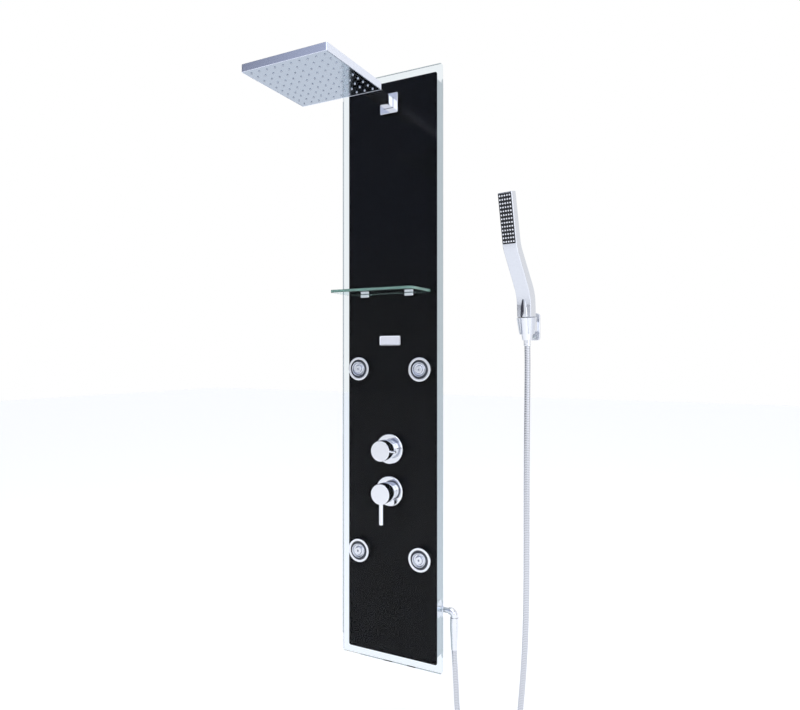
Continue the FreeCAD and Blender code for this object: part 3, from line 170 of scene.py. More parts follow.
# ---- materials
def linear(hex_colour):
    """sRGB hex to linear RGBA."""
    values = [int(hex_colour[i : i + 2], 16) / 255 for i in (1, 3, 5)]
    return [v / 12.92 if v <= 0.04045 else ((v + 0.055) / 1.055) ** 2.4 for v in values] + [1.0]


def colour(name):
    return linear(getattr(bpy.context.scene.shower_colours, name))


def set_stops(elements, stops):
    """Writes a colour ramp's stops of (position, colour), first and last included."""
    for element, (position, tone) in zip(elements, (stops[0], stops[-1])):
        element.position, element.color = position, tone
    for position, tone in stops[1:-1]:
        elements.new(position).color = tone


def add_node(tree, kind, settings=None, to=None, **links):
    """Adds a node, sets its attributes, sockets and stops, and links sockets to other nodes'
    outputs and its own first output to a socket. Returns that output."""
    made = tree.nodes.new(kind)
    for key, value in (settings or {}).items():
        if key == "stops":
            set_stops(made.color_ramp.elements, value)
        elif key in made.inputs:
            made.inputs[key].default_value = value
        else:
            setattr(made, key, value)
    for key, source in links.items():
        tree.links.new(source, made.inputs[key.replace("_", " ")])
    if to:
        tree.links.new(made.outputs[0], to)
    return made.outputs[0] if made.outputs else None


def blank(name, **surface):
    """A material with an empty tree but for its shader, and the Object coordinates for patterns."""
    made = bpy.data.materials.new(name)
    made.use_nodes = True
    tree = made.node_tree
    tree.nodes.clear()
    place = add_node(tree, "ShaderNodeTexCoord").node.outputs["Object"]
    settings = {key.replace("_", " "): value for key, value in surface.items()}
    shade = add_node(tree, "ShaderNodeBsdfPrincipled", settings)
    add_node(tree, "ShaderNodeOutputMaterial", Surface=shade)
    return made, tree, place, shade.node.inputs


def features(size, detail):
    """Settings for noise whose features are about size metres across."""
    return {"Scale": 1 / size, "Detail": detail}


def finish(tree, place, shader, rough, haze, relief=None):
    """Roughness runs between two values with a haze, a noise of (size, detail). The relief is a
    noise of (size, detail) and its depth and strength as a bump."""
    cloud = add_node(tree, "ShaderNodeTexNoise", features(*haze), Vector=place)
    spread = {"To Min": rough[0], "To Max": rough[1]}
    add_node(tree, "ShaderNodeMapRange", spread, shader["Roughness"], Value=cloud)
    if relief:
        size, detail, depth, strength = relief
        skin = add_node(tree, "ShaderNodeTexNoise", features(size, detail), Vector=place)
        push = {"Distance": depth, "Strength": strength}
        add_node(tree, "ShaderNodeBump", push, shader["Normal"], Height=skin)


def material(name, rough, haze, relief=None, tones=None, stretch=None, **surface):
    """A material with a finish. Its tones are two colours, then the size and detail of the noise
    between them. A stretch draws the patterns out to a grain."""
    made, tree, place, shader = blank(name, **surface)
    if stretch:
        place = add_node(tree, "ShaderNodeMapping", {"Scale": stretch}, Vector=place)
    if tones:
        low, high, *cloud = tones
        pattern = add_node(tree, "ShaderNodeTexNoise", features(*cloud), Vector=place)
        stops = {"stops": ((0, low), (1, high))}
        add_node(tree, "ShaderNodeValToRGB", stops, shader["Base Color"], Fac=pattern)
    finish(tree, place, shader, rough, haze, relief)
    return made


def metal(name, tint, **patterns):
    return material(name, Base_Color=tint, Metallic=1.0, **patterns)


def moulded(name, tint, rough, peel=mm(0.8)):
    """Moulded plastic or rubber: one colour with slight clouding and a fine spark-eroded skin."""
    tone = linear(tint)
    darker = [c * 0.86 for c in tone[:3]] + [1.0]
    return material(
        name, rough=(rough - 0.06, rough + 0.08), haze=(peel, 2.0),
        relief=(peel, 2.0, mm(0.02), 0.3), tones=(darker, tone, mm(25), 3.0), IOR=1.48,
    )


def edge_glass():
    # The shelf's glass: clear through its faces, pale mint on its ground edges, where its light
    # comes out. A face is told from an edge by how level it lies.
    made, tree, place, shader = blank("edge_glass", IOR=1.45, Transmission_Weight=1.0)
    facing = add_node(tree, "ShaderNodeTexCoord").node.outputs["Normal"]
    parts = add_node(tree, "ShaderNodeSeparateXYZ", Vector=facing).node.outputs
    level = add_node(tree, "ShaderNodeMath", {"operation": "ABSOLUTE"}, Value=parts["Z"])
    edge, face = 0.5, 0.6
    tones = {"stops": ((edge, linear("#A9D6C8")), (face, linear("#CFE6E0")))}
    add_node(tree, "ShaderNodeValToRGB", tones, shader["Base Color"], Fac=level)
    clear = {"From Min": edge, "From Max": face, "To Min": 0.7, "To Max": 1.0}
    add_node(tree, "ShaderNodeMapRange", clear, shader["Transmission Weight"], Value=level)
    finish(tree, place, shader, (0.0, 0.02), (mm(80), 3.0))
    return made


def wound_stainless():
    # Double-lock strip of polished stainless, with painted shade: its colour is darker in the
    # grooves where the turns lock and lighter on the ridges.
    made, tree, place, shader = blank("wound_stainless", Metallic=1.0)
    seam = add_node(tree, "ShaderNodeAttribute", {"attribute_name": "ridge"}).node.outputs["Fac"]
    # painted shade: darker in the grooves than on the ridges, by each ring's height
    tones = {"stops": ((0, linear("#A6A8AE")), (1, linear("#D0D2D8")))}
    add_node(tree, "ShaderNodeValToRGB", tones, shader["Base Color"], Fac=seam)
    finish(tree, place, shader, (0.07, 0.14), (mm(5), 3.0), (mm(1), 3.0, mm(0.01), 0.2))
    return made


MATERIALS = {}


def make_materials():
    colours = bpy.context.scene.shower_colours
    MATERIALS.update(
        # Chrome on polished brass: a mirror, with the faint long waves that hand polishing leaves.
        chrome=metal(
            "polished_chrome", colour("chrome"), rough=(0.03, 0.09), haze=(mm(9), 3.0),
            relief=(mm(26), 1.0, mm(0.02), 0.25),
        ),
        # Chrome on moulded ABS: a softer mirror, because the moulding's skin shows as orange peel.
        plated=metal(
            "plated_plastic", colour("plated"), rough=(0.1, 0.2), haze=(mm(14), 3.0),
            relief=(mm(3), 2.0, mm(0.01), 0.3),
        ),
        # Satin chrome: fine brushing under the plate spreads each light into a soft band. Brushing
        # of 0.05 mm is drawn ten times as coarse, so that it shows.
        satin=metal(
            "satin_chrome", colour("satin_chrome"), rough=(0.22, 0.36), haze=(mm(0.5), 2.0),
            relief=(mm(0.5), 2.0, mm(0.01), 0.2), stretch=(0.02, 0.02, 1.0),
        ),
        # Mirror-polished stainless sheet: flat, with a slight large ripple from the press.
        mirror=metal(
            "mirror_plate", linear("#B3BDC9"), rough=(0.07, 0.14), haze=(mm(30), 3.0),
            relief=(mm(60), 1.0, mm(0.03), 0.2),
        ),
        # Rolled stainless sheet with a long brushed grain along the rails. Grain of 0.1 mm is drawn
        # as 0.6 mm, so that it shows.
        stainless=metal(
            "brushed_stainless", colour("stainless"), rough=(0.26, 0.42), haze=(mm(0.6), 3.0),
            relief=(mm(0.6), 3.0, mm(0.02), 0.25), stretch=(1.0, 1.0, 0.02),
        ),
        # Anodised aluminium plate: a pale satin with a short grain across it.
        badge=metal(
            "satin_badge", linear("#F4F5FA"), rough=(0.18, 0.3), haze=(mm(0.3), 2.0),
            relief=(mm(0.3), 2.0, mm(0.01), 0.25), stretch=(0.05, 1.0, 1.0),
        ),
        # Clear toughened float glass: smooth, with a faint cold tint.
        glass=material(
            "toughened_glass", rough=(0.0, 0.015), haze=(mm(120), 3.0), Base_Color=colour("glass"),
            Transmission_Weight=1.0, IOR=1.17,
        ),
        # Fired black enamel on the glass: even, with the faintest cloud from the screen.
        coat=material(
            "back_paint", rough=(0.6, 0.8), haze=(mm(90), 2.0),
            tones=(linear("#07070A"), colour("coat"), mm(90), 2.0), Specular_IOR_Level=0.0,
        ),
        # Sand-cast brass left raw: dull, grainy and browner in random patches.
        brass=material(
            "cast_brass", rough=(0.34, 0.55), haze=(mm(1.2), 4.0), Metallic=1.0,
            relief=(mm(1.2), 4.0, mm(0.08), 0.4),
            tones=(linear("#97793F"), colour("brass"), mm(18), 3.0),
        ),
        shelf=edge_glass(), hose=wound_stainless(),
        nylon=moulded("turned_nylon", colours.nylon, 0.5),
        pipe=moulded("water_pipe", "#C9CDD3", 0.36),
        silicone=moulded("nozzle_silicone", colours.silicone, 0.5, mm(0.5)),
        white=moulded("white_silicone", colours.white_silicone, 0.5, mm(0.5)),
        rubber=moulded("spray_rubber", colours.rubber, 0.38, mm(0.6)),
        dark=moulded("dark_acetal", "#3A3F48", 0.25, mm(0.6)),
    )


# ---- modelling by hand
WELD = mm(0.002)  # points nearer than this are one
STRAIGHT = 0.9  # share of a direction along an axis from which it counts as along it
BEVELLED, SMOOTHED = math.radians(32), math.radians(38)  # edges sharper than this, or less


def dress(finish, *nodes):
    """Gives CAD nodes that keep their shape a finish."""
    for node in nodes:
        for slot in NODES[node].material_slots:
            slot.material = MATERIALS[finish]


def leave_edit_mode():
    if bpy.context.object and bpy.context.object.mode != "OBJECT":
        bpy.ops.object.mode_set(mode="OBJECT")


def clear_selection():
    leave_edit_mode()
    bpy.ops.object.select_all(action="DESELECT")


def modify(piece, kind, **settings):
    """Adds a modifier, sets it and applies it."""
    bpy.ops.object.modifier_add(type=kind)
    made = piece.modifiers[-1]
    for key, value in settings.items():
        setattr(made, key, value)
    bpy.ops.object.modifier_apply(modifier=made.name)


def settle(piece, name, at=(0, 0, 0), turn=UPRIGHT, soften=0.0, segments=3):
    """Bevels a piece's edges, puts it in place, and leaves its object at the origin."""
    leave_edit_mode()
    piece.name = piece.data.name = name
    if soften:
        modify(
            piece, "BEVEL", width=soften, segments=segments, limit_method="ANGLE",
            angle_limit=BEVELLED,
        )
    piece.rotation_euler = turn
    piece.location = at
    bpy.ops.object.transform_apply(location=True, rotation=True, scale=True)
    bpy.ops.object.shade_smooth_by_angle(angle=SMOOTHED)
    modify(piece, "WEIGHTED_NORMAL", keep_sharp=True)
    return piece


def hand_over(piece, finish, body, slot, *nodes):
    """Finish, body, material slot and the CAD nodes that a piece stands for. The material slot is
    not used.
    """
    piece.data.materials.clear()
    piece.data.materials.append(MATERIALS[finish])
    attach(piece, body)
    if nodes:
        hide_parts(*nodes)


def chromed(piece, node, body="column"):
    """Hands over a chromed brass piece."""
    hand_over(piece, "chrome", body, "chrome", node)


def pull(*way):
    """Extrudes what is selected."""
    bpy.ops.mesh.extrude_region_move(TRANSFORM_OT_translate={"value": way})


def edit_all():
    """Goes into edit mode with everything selected."""
    bpy.ops.object.mode_set(mode="EDIT")
    bpy.ops.mesh.select_all(action="SELECT")


def knee(centre, axis):
    """Spins what is selected a quarter turn round a bend."""
    bpy.ops.mesh.spin(steps=14, angle=-QUARTER, center=centre, axis=axis)


def close_up():
    """Welds the piece and turns its faces outward."""
    bpy.ops.mesh.select_all(action="SELECT")
    bpy.ops.mesh.remove_doubles(threshold=WELD)
    bpy.ops.mesh.normals_make_consistent(inside=False)


def drawn(points):
    """A line pulled out from one point through the others, left in edit mode with all selected."""
    clear_selection()
    bpy.ops.mesh.primitive_plane_add(size=mm(1))
    piece = bpy.context.object
    bpy.ops.object.mode_set(mode="EDIT")
    bpy.ops.mesh.select_mode(type="VERT")
    bpy.ops.mesh.merge(type="CENTER")
    bpy.ops.transform.translate(value=points[0])
    for here, there in zip(points, points[1:]):
        pull(*(there - here))
    bpy.ops.mesh.select_all(action="SELECT")
    return piece


def turned(name, profile, at=(0, 0, 0), turn=UPRIGHT, closed=False, soften=None, steps=None):
    """A piece from the lathe. The profile lists (radius, height) in millimetres. A closed profile
    makes a ring, and an open one starts and ends on the axis."""
    sizes = bpy.context.scene.shower_sizes
    points = [Vector((mm(r), 0, mm(h))) for r, h in profile]
    piece = drawn(points + points[:1] * closed)
    bpy.ops.mesh.remove_doubles(threshold=WELD)
    bpy.ops.mesh.spin(steps=steps or sizes.turns, angle=math.tau, center=(0, 0, 0), axis=(0, 0, 1))
    close_up()
    return settle(piece, name, at, turn, sizes.edge if soften is None else soften)


def arc(centre_r, centre_h, radius, start, end, steps=8):
    """Points of a profile on a circle, between two angles above the horizontal, in degrees."""
    angles = [math.radians(start + (end - start) * i / steps) for i in range(steps + 1)]
    return [(centre_r + radius * math.cos(a), centre_h + radius * math.sin(a)) for a in angles]


def pick(kind, test):
    """In edit mode, selects the faces or edges of the active object that pass a test."""
    bpy.ops.mesh.select_mode(type=kind)
    bpy.ops.mesh.select_all(action="DESELECT")
    work = bmesh.from_edit_mesh(bpy.context.object.data)
    for item in work.faces if kind == "FACE" else work.edges:
        item.select = test(item)
    if kind == "FACE":
        work.select_flush_mode()
    bmesh.update_edit_mesh(bpy.context.object.data)


def upright(edge):
    run = (edge.verts[1].co - edge.verts[0].co).normalized()
    return abs(run.z) > STRAIGHT


def on_top(face):
    return face.normal.z > STRAIGHT


def slab(size, corner, corner_segments=6):
    """A block standing on Z = 0 with rounded upright corners, left in edit mode."""
    clear_selection()
    bpy.ops.mesh.primitive_cube_add(size=1, location=(0, 0, size[2] / 2))
    piece = bpy.context.object
    piece.scale = size
    bpy.ops.object.transform_apply(location=True, rotation=True, scale=True)
    bpy.ops.object.mode_set(mode="EDIT")
    pick("EDGE", upright)
    if corner:
        bpy.ops.mesh.bevel(offset=corner, segments=corner_segments, affect="EDGES")
    return piece


def joined(pieces, name):
    """One piece made of several."""
    clear_selection()
    for piece in pieces:
        piece.select_set(True)
    bpy.context.view_layer.objects.active = pieces[0]
    bpy.ops.object.join()
    pieces[0].name = name
    return pieces[0]


def repeat(piece, pitches, counts):
    """Rows of copies along X and then along Y. Returns the move that centres them."""
    for axis in (0, 1):
        modify(
            piece, "ARRAY", count=counts[axis], use_relative_offset=False,
            use_constant_offset=True,
            constant_offset_displace=[pitches[axis] * (axis == i) for i in range(3)],
        )
    return Vector([-pitch * (count - 1) / 2 for pitch, count in zip(pitches, counts)] + [0])


# ---- glass and frame
class SHOWER_OT_glass_and_frame(bpy.types.Operator):
    """Finish the glass panel, its black back coat, the rear frame and its wall bracket"""

    bl_idname = "shower.glass_and_frame"
    bl_label = "Glass and Frame"

    def execute(self, context):
        dress("glass", "glass_panel")
        dress("stainless", "left_rail", "right_rail", "end_rails", "back_straps")
        dress("stainless", "wall_bracket", "hanger_bar")
        self.coat()
        return {"FINISHED"}

    def coat(self):
        """The coat is a copy of its node, a hair behind the glass, so the two don't touch."""
        clear_selection()
        source = NODES["black_coat"]
        source.select_set(True)
        bpy.context.view_layer.objects.active = source
        bpy.ops.object.duplicate()
        coat = bpy.context.object
        coat.parent = None
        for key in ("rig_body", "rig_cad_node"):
            del coat[key]
        edit_all()
        bpy.ops.mesh.remove_doubles(threshold=mm(0.01))
        bpy.ops.transform.translate(value=(0, mm(0.06), 0))
        settle(coat, "back_coat")
        hand_over(coat, "coat", "column", "black_coat", "black_coat")


# ---- badge and shelf
class SHOWER_OT_badge_and_shelf(bpy.types.Operator):
    """Model the bare badge plate and the shelf clips, and finish the glass shelf"""

    bl_idname = "shower.badge_and_shelf"
    bl_label = "Badge and Shelf"

    def execute(self, context):
        dress("shelf", "shelf_glass")
        dress("stainless", "shelf_clip_screws")
        self.badge()
        self.clips()
        return {"FINISHED"}

    def badge(self):
        at, size = rear("badge_plate")
        piece = slab(size.xzy, mm(3))
        pick("FACE", on_top)
        bpy.ops.mesh.inset(thickness=mm(1.4), depth=0)
        bpy.ops.mesh.inset(thickness=mm(0.4), depth=-mm(0.5))
        settle(piece, "bare_badge", at, OUT, mm(0.25))
        hand_over(piece, "badge", "column", "satin_silver", "badge_plate")

    def clips(self):
        """Each clip has a jaw under the shelf, a jaw over it and a web behind it."""
        low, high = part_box("shelf_clips")
        shelf_low, shelf_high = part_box("shelf_glass")
        width, gap = mm(21), mm(0.2)
        depth = high.y - shelf_high.y - gap
        jaws = (
            ("clip_lower", low.z, shelf_low.z - gap),
            ("clip_upper", shelf_high.z + gap, high.z),
        )
        made = []
        for x in (low.x + width / 2, high.x - width / 2):
            for name, under, top in jaws:
                jaw = slab((width, high.y - low.y, top - under), mm(1.2))
                place = (x, (low.y + high.y) / 2, under)
                made.append(settle(jaw, name, place, UPRIGHT, mm(0.8)))
            web = slab((width - mm(1), depth, high.z - low.z - mm(2)), mm(0.6))
            made.append(settle(web, "clip_web", (x, high.y - depth / 2, low.z + mm(1))))
        chromed(joined(made, "shelf_jaws"), "shelf_clips")


# ---- arm and rain head
class SHOWER_OT_arm(bpy.types.Operator):
    """Model the square arm with its bend, its wall flange and the ball stud"""

    bl_idname = "shower.arm"
    bl_label = "Arm"

    def execute(self, context):
        low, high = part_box("shower_arm")
        side = high.x - low.x
        axis_z = high.z - side / 2
        self.flange(side)
        self.tube(side, axis_z, low.y + side / 2, low.z)
        self.shank(axis_z, in_mm(high.y - GLASS_FACE))
        dress("brass", "arm_nut", "arm_elbow")
        self.ball()
        return {"FINISHED"}

    def flange(self, hole):
        at, (width, thick, _) = rear("arm_flange")
        piece = slab((width, width, thick), 0)
        pick("FACE", lambda face: abs(face.normal.z) > STRAIGHT)
        bpy.ops.mesh.inset(thickness=(width - hole) / 2 - mm(0.3))
        bpy.ops.mesh.bridge_edge_loops()
        reach = width / 2 - mm(0.1)
        pick("EDGE", lambda edge: upright(edge) and abs(edge.verts[0].co.x) > reach)
        bpy.ops.mesh.bevel(offset=mm(2.5), segments=6, affect="EDGES")
        settle(piece, "arm_rose", at, OUT, mm(0.9), 4)
        chromed(piece, "arm_flange")

    def tube(self, side, axis_z, end_y, foot_z):
        """A square bar: its end is pulled out along the arm, spun round the bend and let down."""
        bend, start = mm(16), mm(1)
        piece = slab((side, side, start), mm(2), 5)
        reach = GLASS_FACE - (end_y + bend)
        pick("FACE", on_top)
        bpy.ops.transform.translate(value=(0, 0, reach - start))
        bpy.ops.mesh.delete(type="ONLY_FACE")
        pick("EDGE", lambda edge: all(v.co.z > reach - mm(0.1) for v in edge.verts))
        knee((0, -bend, reach), (1, 0, 0))
        pull(0, foot_z + bend - axis_z, 0)
        bpy.ops.mesh.edge_face_add()
        close_up()
        settle(piece, "square_arm", (0, GLASS_FACE, axis_z), OUT)
        chromed(piece, "shower_arm")

    def shank(self, axis_z, long):
        bore, deep = 6, 4 - long
        profile = [(0, 0), (10.2, 0), (10.2, -long), (bore, -long), (bore, deep), (0, deep)]
        piece = turned("arm_shank", profile, (0, GLASS_FACE, axis_z), OUT)
        hand_over(piece, "brass", "column", "brass")

    def ball(self):
        """Ball with a flat underside, so that it clears the head's roof at full tilt and rock."""
        top = 13
        stem = [(5, 10.6), (9.2, 10.6), (9.2, top), (0, top)]
        at = (0, middle("arm_ball").y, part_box("arm_ball")[1].z - mm(top))
        piece = turned("ball_stud", [(0, -5.98)] + arc(0, 0, 9.5, -39, 58, 14) + stem, at)
        chromed(piece, "arm_ball")


class SHOWER_OT_rain_head(bpy.types.Operator):
    """Model the rain head: shell, mirror plate, nozzles, collar and swivel rings"""

    bl_idname = "shower.rain_head"
    bl_label = "Rain Head"

    def execute(self, context):
        self.shell()
        self.plate()
        self.collar()
        dress("nylon", "head_seat", "head_seat_ring")
        return {"FINISHED"}

    def shell(self):
        low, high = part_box("head_shell")
        at, side = foot("head_shell"), high.x - low.x
        piece = slab((side, side, mm(14)), mm(2.8))
        pick("FACE", lambda face: face.normal.z < -STRAIGHT)
        bpy.ops.mesh.inset(thickness=mm(1.6))
        pull(0, 0, mm(12))
        settle(piece, "head_body", at, UPRIGHT, mm(0.6))
        hand_over(piece, "satin", "rain_head", "satin_head", "head_shell")
        ring = [(11.8, 14), (13.2, 14), (13.2, 15.7), (11.8, 15.7)]
        boss = turned("head_boss", ring, at, closed=True, soften=mm(0.2))
        hand_over(boss, "satin", "rain_head", "satin_head")

    def plate(self):
        """Mirror plate, and one nozzle with its collar, repeated in rows."""
        low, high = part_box("head_faceplate")
        at = foot("head_faceplate")
        piece = slab(high - low, mm(1.2), 4)
        settle(piece, "mirror_face", at, UPRIGHT, mm(0.4))
        hand_over(piece, "mirror", "rain_head", "chrome", "head_faceplate")
        sizes = bpy.context.scene.shower_sizes
        profile = [(0, -2), (1.0, -2), (1.5, -1.5), (1.7, -0.5), (2.0, -0.3), (2.1, 0.1), (0, 0.1)]
        tips = turned("head_nozzle_tips", profile, soften=0, steps=12)
        move = repeat(tips, [sizes.nozzle_pitch] * 2, [sizes.nozzle_rows] * 2)
        settle(tips, "head_nozzle_tips", at + move)
        hand_over(tips, "silicone", "rain_head", "silicone", "head_nozzles")

    def collar(self):
        low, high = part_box("head_collar")
        tall = in_mm(high.z - low.z)
        profile = [
            (13.6, 0), (15.5, 0), (15.5, 2.2), (15.1, 2.6), (15.1, 3.4), (15.5, 3.8),
            (15.5, tall - 1.6), (14.0, tall), (9.3, tall), (10.0, tall - 1.6), (13.6, tall - 1.6),
        ]
        piece = turned("swivel_collar", profile, foot("head_collar"), closed=True, soften=mm(0.3))
        chromed(piece, "head_collar", "rain_head")


# ---- body jets
class SHOWER_OT_body_jets(bpy.types.Operator):
    """Model the four swivelling body jets"""

    bl_idname = "shower.body_jets"
    bl_label = "Body Jets"

    RIM = [
        (22.3, 0), (26.4, 0), (26.4, 8.6), (26.0, 9.5), (25.2, 9.8), (21.6, 9.8), (20.9, 9.5),
        (20.5, 8.8), (20.3, 7.6), (20.2, 3.5), (22.3, 3.5),
    ]
    RING = arc(0, 5, 19.95, -11.6, 11.6, 6) + arc(0, 5, 17.25, 13.4, -13.4, 6)
    # a ball with a dished face, two fine grooves and a bright hub
    NOZZLE = [(0, -4)] + arc(0, 5, 17, -32, 26.2, 10) + [
        (14.3, 12.3), (12.9, 9.2), (12.0, 8.4), (10.2, 8.2), (9.0, 8.8), (8.0, 12.4),
        (7.2, 13.1), (2.6, 13.1), (2, 12.6), (2, 6), (0, 6),
    ]

    def execute(self, context):
        rims = [self.spun("rim", self.RIM, place, True) for place in JET_PLACES]
        chromed(joined(rims, "jet_rims"), "jet_bezels")
        for place in JET_PLACES:
            body = f"jet_ring_{place}"
            ring = self.spun("swivel_ring", self.RING, place, True)
            hand_over(ring, "dark", body, "dark_plastic", body)
            nozzle = self.spun("swivel_nozzle", self.NOZZLE, place)
            hand_over(nozzle, "plated", f"jet_{place}", "chrome_plastic", f"jet_nozzle_{place}")
        dress("brass", "jet_bodies", "jet_nuts")
        return {"FINISHED"}

    def spun(self, name, profile, place, closed=False):
        centre = middle(f"jet_ring_{place}")
        at = (centre.x, GLASS_FACE, centre.z)
        return turned(f"{name}_{place}", profile, at, OUT, closed=closed, soften=mm(0.2))


# ---- controls
# the rose up to its face, and the knob from its rear edge round to the front
ROSE = [(17.8, 0), (33.5, 0), (33.5, 3.6)] + arc(31.1, 3.6, 2.4, 0, 90, 6)
KNOB = [(22.5, 20), (22.5, 44.8)] + arc(21.3, 44.8, 1.2, 0, 90, 5) + [(0, 46)]


def pin(name, radius, long, at, turn):
    """Plain pin with a rounded end."""
    r, end, edge = in_mm(radius), in_mm(long), 0.5
    profile = [(0, 0), (r, 0)] + arc(r - edge, end - edge, edge, 0, 90, 4) + [(0, end)]
    return turned(name, profile, at, turn, soften=0, steps=40)


class SHOWER_OT_diverter(bpy.types.Operator):
    """Model the diverter's rose, sleeve, knob and pointer pin"""

    bl_idname = "shower.diverter"
    bl_label = "Diverter"

    def execute(self, context):
        at = (0, GLASS_FACE, middle("diverter_rose").z)
        sleeve = [(19.9, 6), (19.5, 6.4), (19.5, 19.4), (17.8, 19.4)]
        rose = turned("diverter_plate", ROSE + sleeve, at, OUT, closed=True)
        chromed(rose, "diverter_rose")
        knob = turned("diverter_handle", [(0, 28), (17.5, 28), (17.5, 20)] + KNOB, at, OUT)
        chromed(knob, "diverter_knob", "diverter")
        low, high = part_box("diverter_pin")
        start = (low.x, *middle("diverter_pin").yz)
        pointer = pin("pointer_pin", (high.z - low.z) / 2, high.x - low.x, start, ALONG_WALL)
        chromed(pointer, "diverter_pin", "diverter")
        dress("brass", "diverter_stem")
        dress("nylon", "diverter_cartridge")
        return {"FINISHED"}


class SHOWER_OT_mixer(bpy.types.Operator):
    """Model the mixer's rose, dome, lever knob and pin lever"""

    bl_idname = "shower.mixer"
    bl_label = "Mixer"

    def execute(self, context):
        at = (0, GLASS_FACE, middle("mixer_rose").z)
        rose = turned("mixer_plate", ROSE + [(17.8, 6)], at, OUT, closed=True)
        chromed(rose, "mixer_rose")
        ball = 17.5  # height of the centre of the dome and of the knob's hollow
        dome = [(18, 6.3), (19.5, 6.3)] + arc(0, ball, 19.5, 0, 53.8, 12)
        dome += arc(0, ball, 18, 50.3, 0, 12)
        cap = turned("mixer_cap", dome, at, OUT, closed=True, soften=mm(0.2))
        chromed(cap, "mixer_dome")
        hollow = [(0, 38.1)] + arc(0, ball, 20.6, 89, 7.2, 14)
        knob = turned("mixer_handle_knob", hollow + KNOB, at, OUT)
        chromed(knob, "mixer_knob", "mixer_handle")
        low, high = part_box("mixer_lever")
        start = (*middle("mixer_lever").xy, high.z)
        lever = pin("pin_lever", (high.x - low.x) / 2, high.z - low.z, start, DOWN)
        chromed(lever, "mixer_lever", "mixer_handle")
        dress("brass", "mixer_spindle")
        dress("nylon", "mixer_carrier", "mixer_cartridge")
        return {"FINISHED"}


class SHOWER_OT_waterways(bpy.types.Operator):
    """Finish the valve body and the pipes behind the glass"""

    bl_idname = "shower.waterways"
    bl_label = "Waterways"

    def execute(self, context):
        dress("brass", "valve_body")
        dress("pipe", "riser_pipe", "jet_pipes", "outlet_pipe")
        return {"FINISHED"}


# ---- side outlet and hose
class SHOWER_OT_side_outlet(bpy.types.Operator):
    """Model the hose outlet: rose, elbow and the long tapered hose nut"""

    bl_idname = "shower.side_outlet"
    bl_label = "Side Outlet"

    def execute(self, context):
        y, z = middle("outlet_rose").yz
        profile = [(6.3, 0), (19.5, 0), (19.5, 1.4), (18, 3), (6.3, 3)]
        at = (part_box("outlet_rose")[0].x, y, z)
        chromed(turned("outlet_plate", profile, at, ALONG_WALL, closed=True), "outlet_rose")
        self.elbow(y, z)
        profile = [
            (0, 0), (6.4, 0), (7.0, 0.8), (7.0, 5), (7.3, 6), (7.5, 16), (9.3, 44), (9.5, 48),
            (9.5, 60), (9.2, 60.6), (9.2, 62), (9.5, 62.6), (9.5, 69.4), (9, 70), (0, 70),
        ]
        nut = turned("hose_nut", profile, foot("elbow_hose_nut"), soften=mm(0.25))
        chromed(nut, "elbow_hose_nut")
        return {"FINISHED"}

    def elbow(self, y, z):
        """Nipple, knee and leg: one round section, pushed out, spun through the knee, let down."""
        nipple, pipe, bend, shoulder = mm(6), mm(8.2), mm(9), mm(3)
        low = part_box("outlet_elbow")[0]
        knee_x = middle("elbow_hose_nut").x - bend
        clear_selection()
        bpy.ops.mesh.primitive_circle_add(
            vertices=48, radius=nipple, location=(low.x, y, z), rotation=ALONG_WALL,
        )
        piece = bpy.context.object
        bpy.ops.object.transform_apply(location=True, rotation=True, scale=True)
        edit_all()
        pull(knee_x - shoulder - low.x, 0, 0)
        bpy.ops.mesh.extrude_region_move()
        bpy.ops.transform.resize(
            value=(1, pipe / nipple, pipe / nipple), center_override=(knee_x - shoulder, y, z),
        )
        pull(shoulder, 0, 0)
        knee((knee_x, y, z - bend), (0, 1, 0))
        pull(0, 0, low.z - (z - bend))
        bpy.ops.mesh.edge_face_add()
        close_up()
        settle(piece, "hose_elbow", soften=mm(0.3))
        chromed(piece, "outlet_elbow")


# the hose's route, the same points as in the part's source, in metres
HOSE_DOWN = [
    (0.1396, -0.0248, -0.6063), (0.1396, -0.0248, -0.6203), (0.1421, -0.0253, -0.6523),
    (0.145, -0.0259, -0.6983),
]
LOOP_X, LOOP_Z, LOOP_R, LOOP_OUT = 0.218, -0.7353, 0.071, 0.024
HOSE_LOOP = [
    (
        LOOP_X + LOOP_R * math.cos(math.radians(turn)),
        -0.0248 - LOOP_OUT * (turn / 180 - 0.93),
        LOOP_Z + LOOP_R * math.sin(math.radians(turn)),
    )
    for turn in range(180, 361, 30)
]
HOSE_UP = [
    (0.2938, -0.0514, -0.6946), (0.2982, -0.0518, -0.6461), (0.3018, -0.0516, -0.5984),
    (0.3045, -0.0512, -0.5476), (0.3061, -0.0507, -0.4905), (0.3069, -0.0502, -0.4287),
    (0.307, -0.0496, -0.3505), (0.3069, -0.0491, -0.2684), (0.307, -0.0487, -0.187),
    (0.3075, -0.0485, -0.1073), (0.3085, -0.0487, -0.0298), (0.3095, -0.0511, 0.0249),
    (0.3095, -0.053, 0.0468),
]


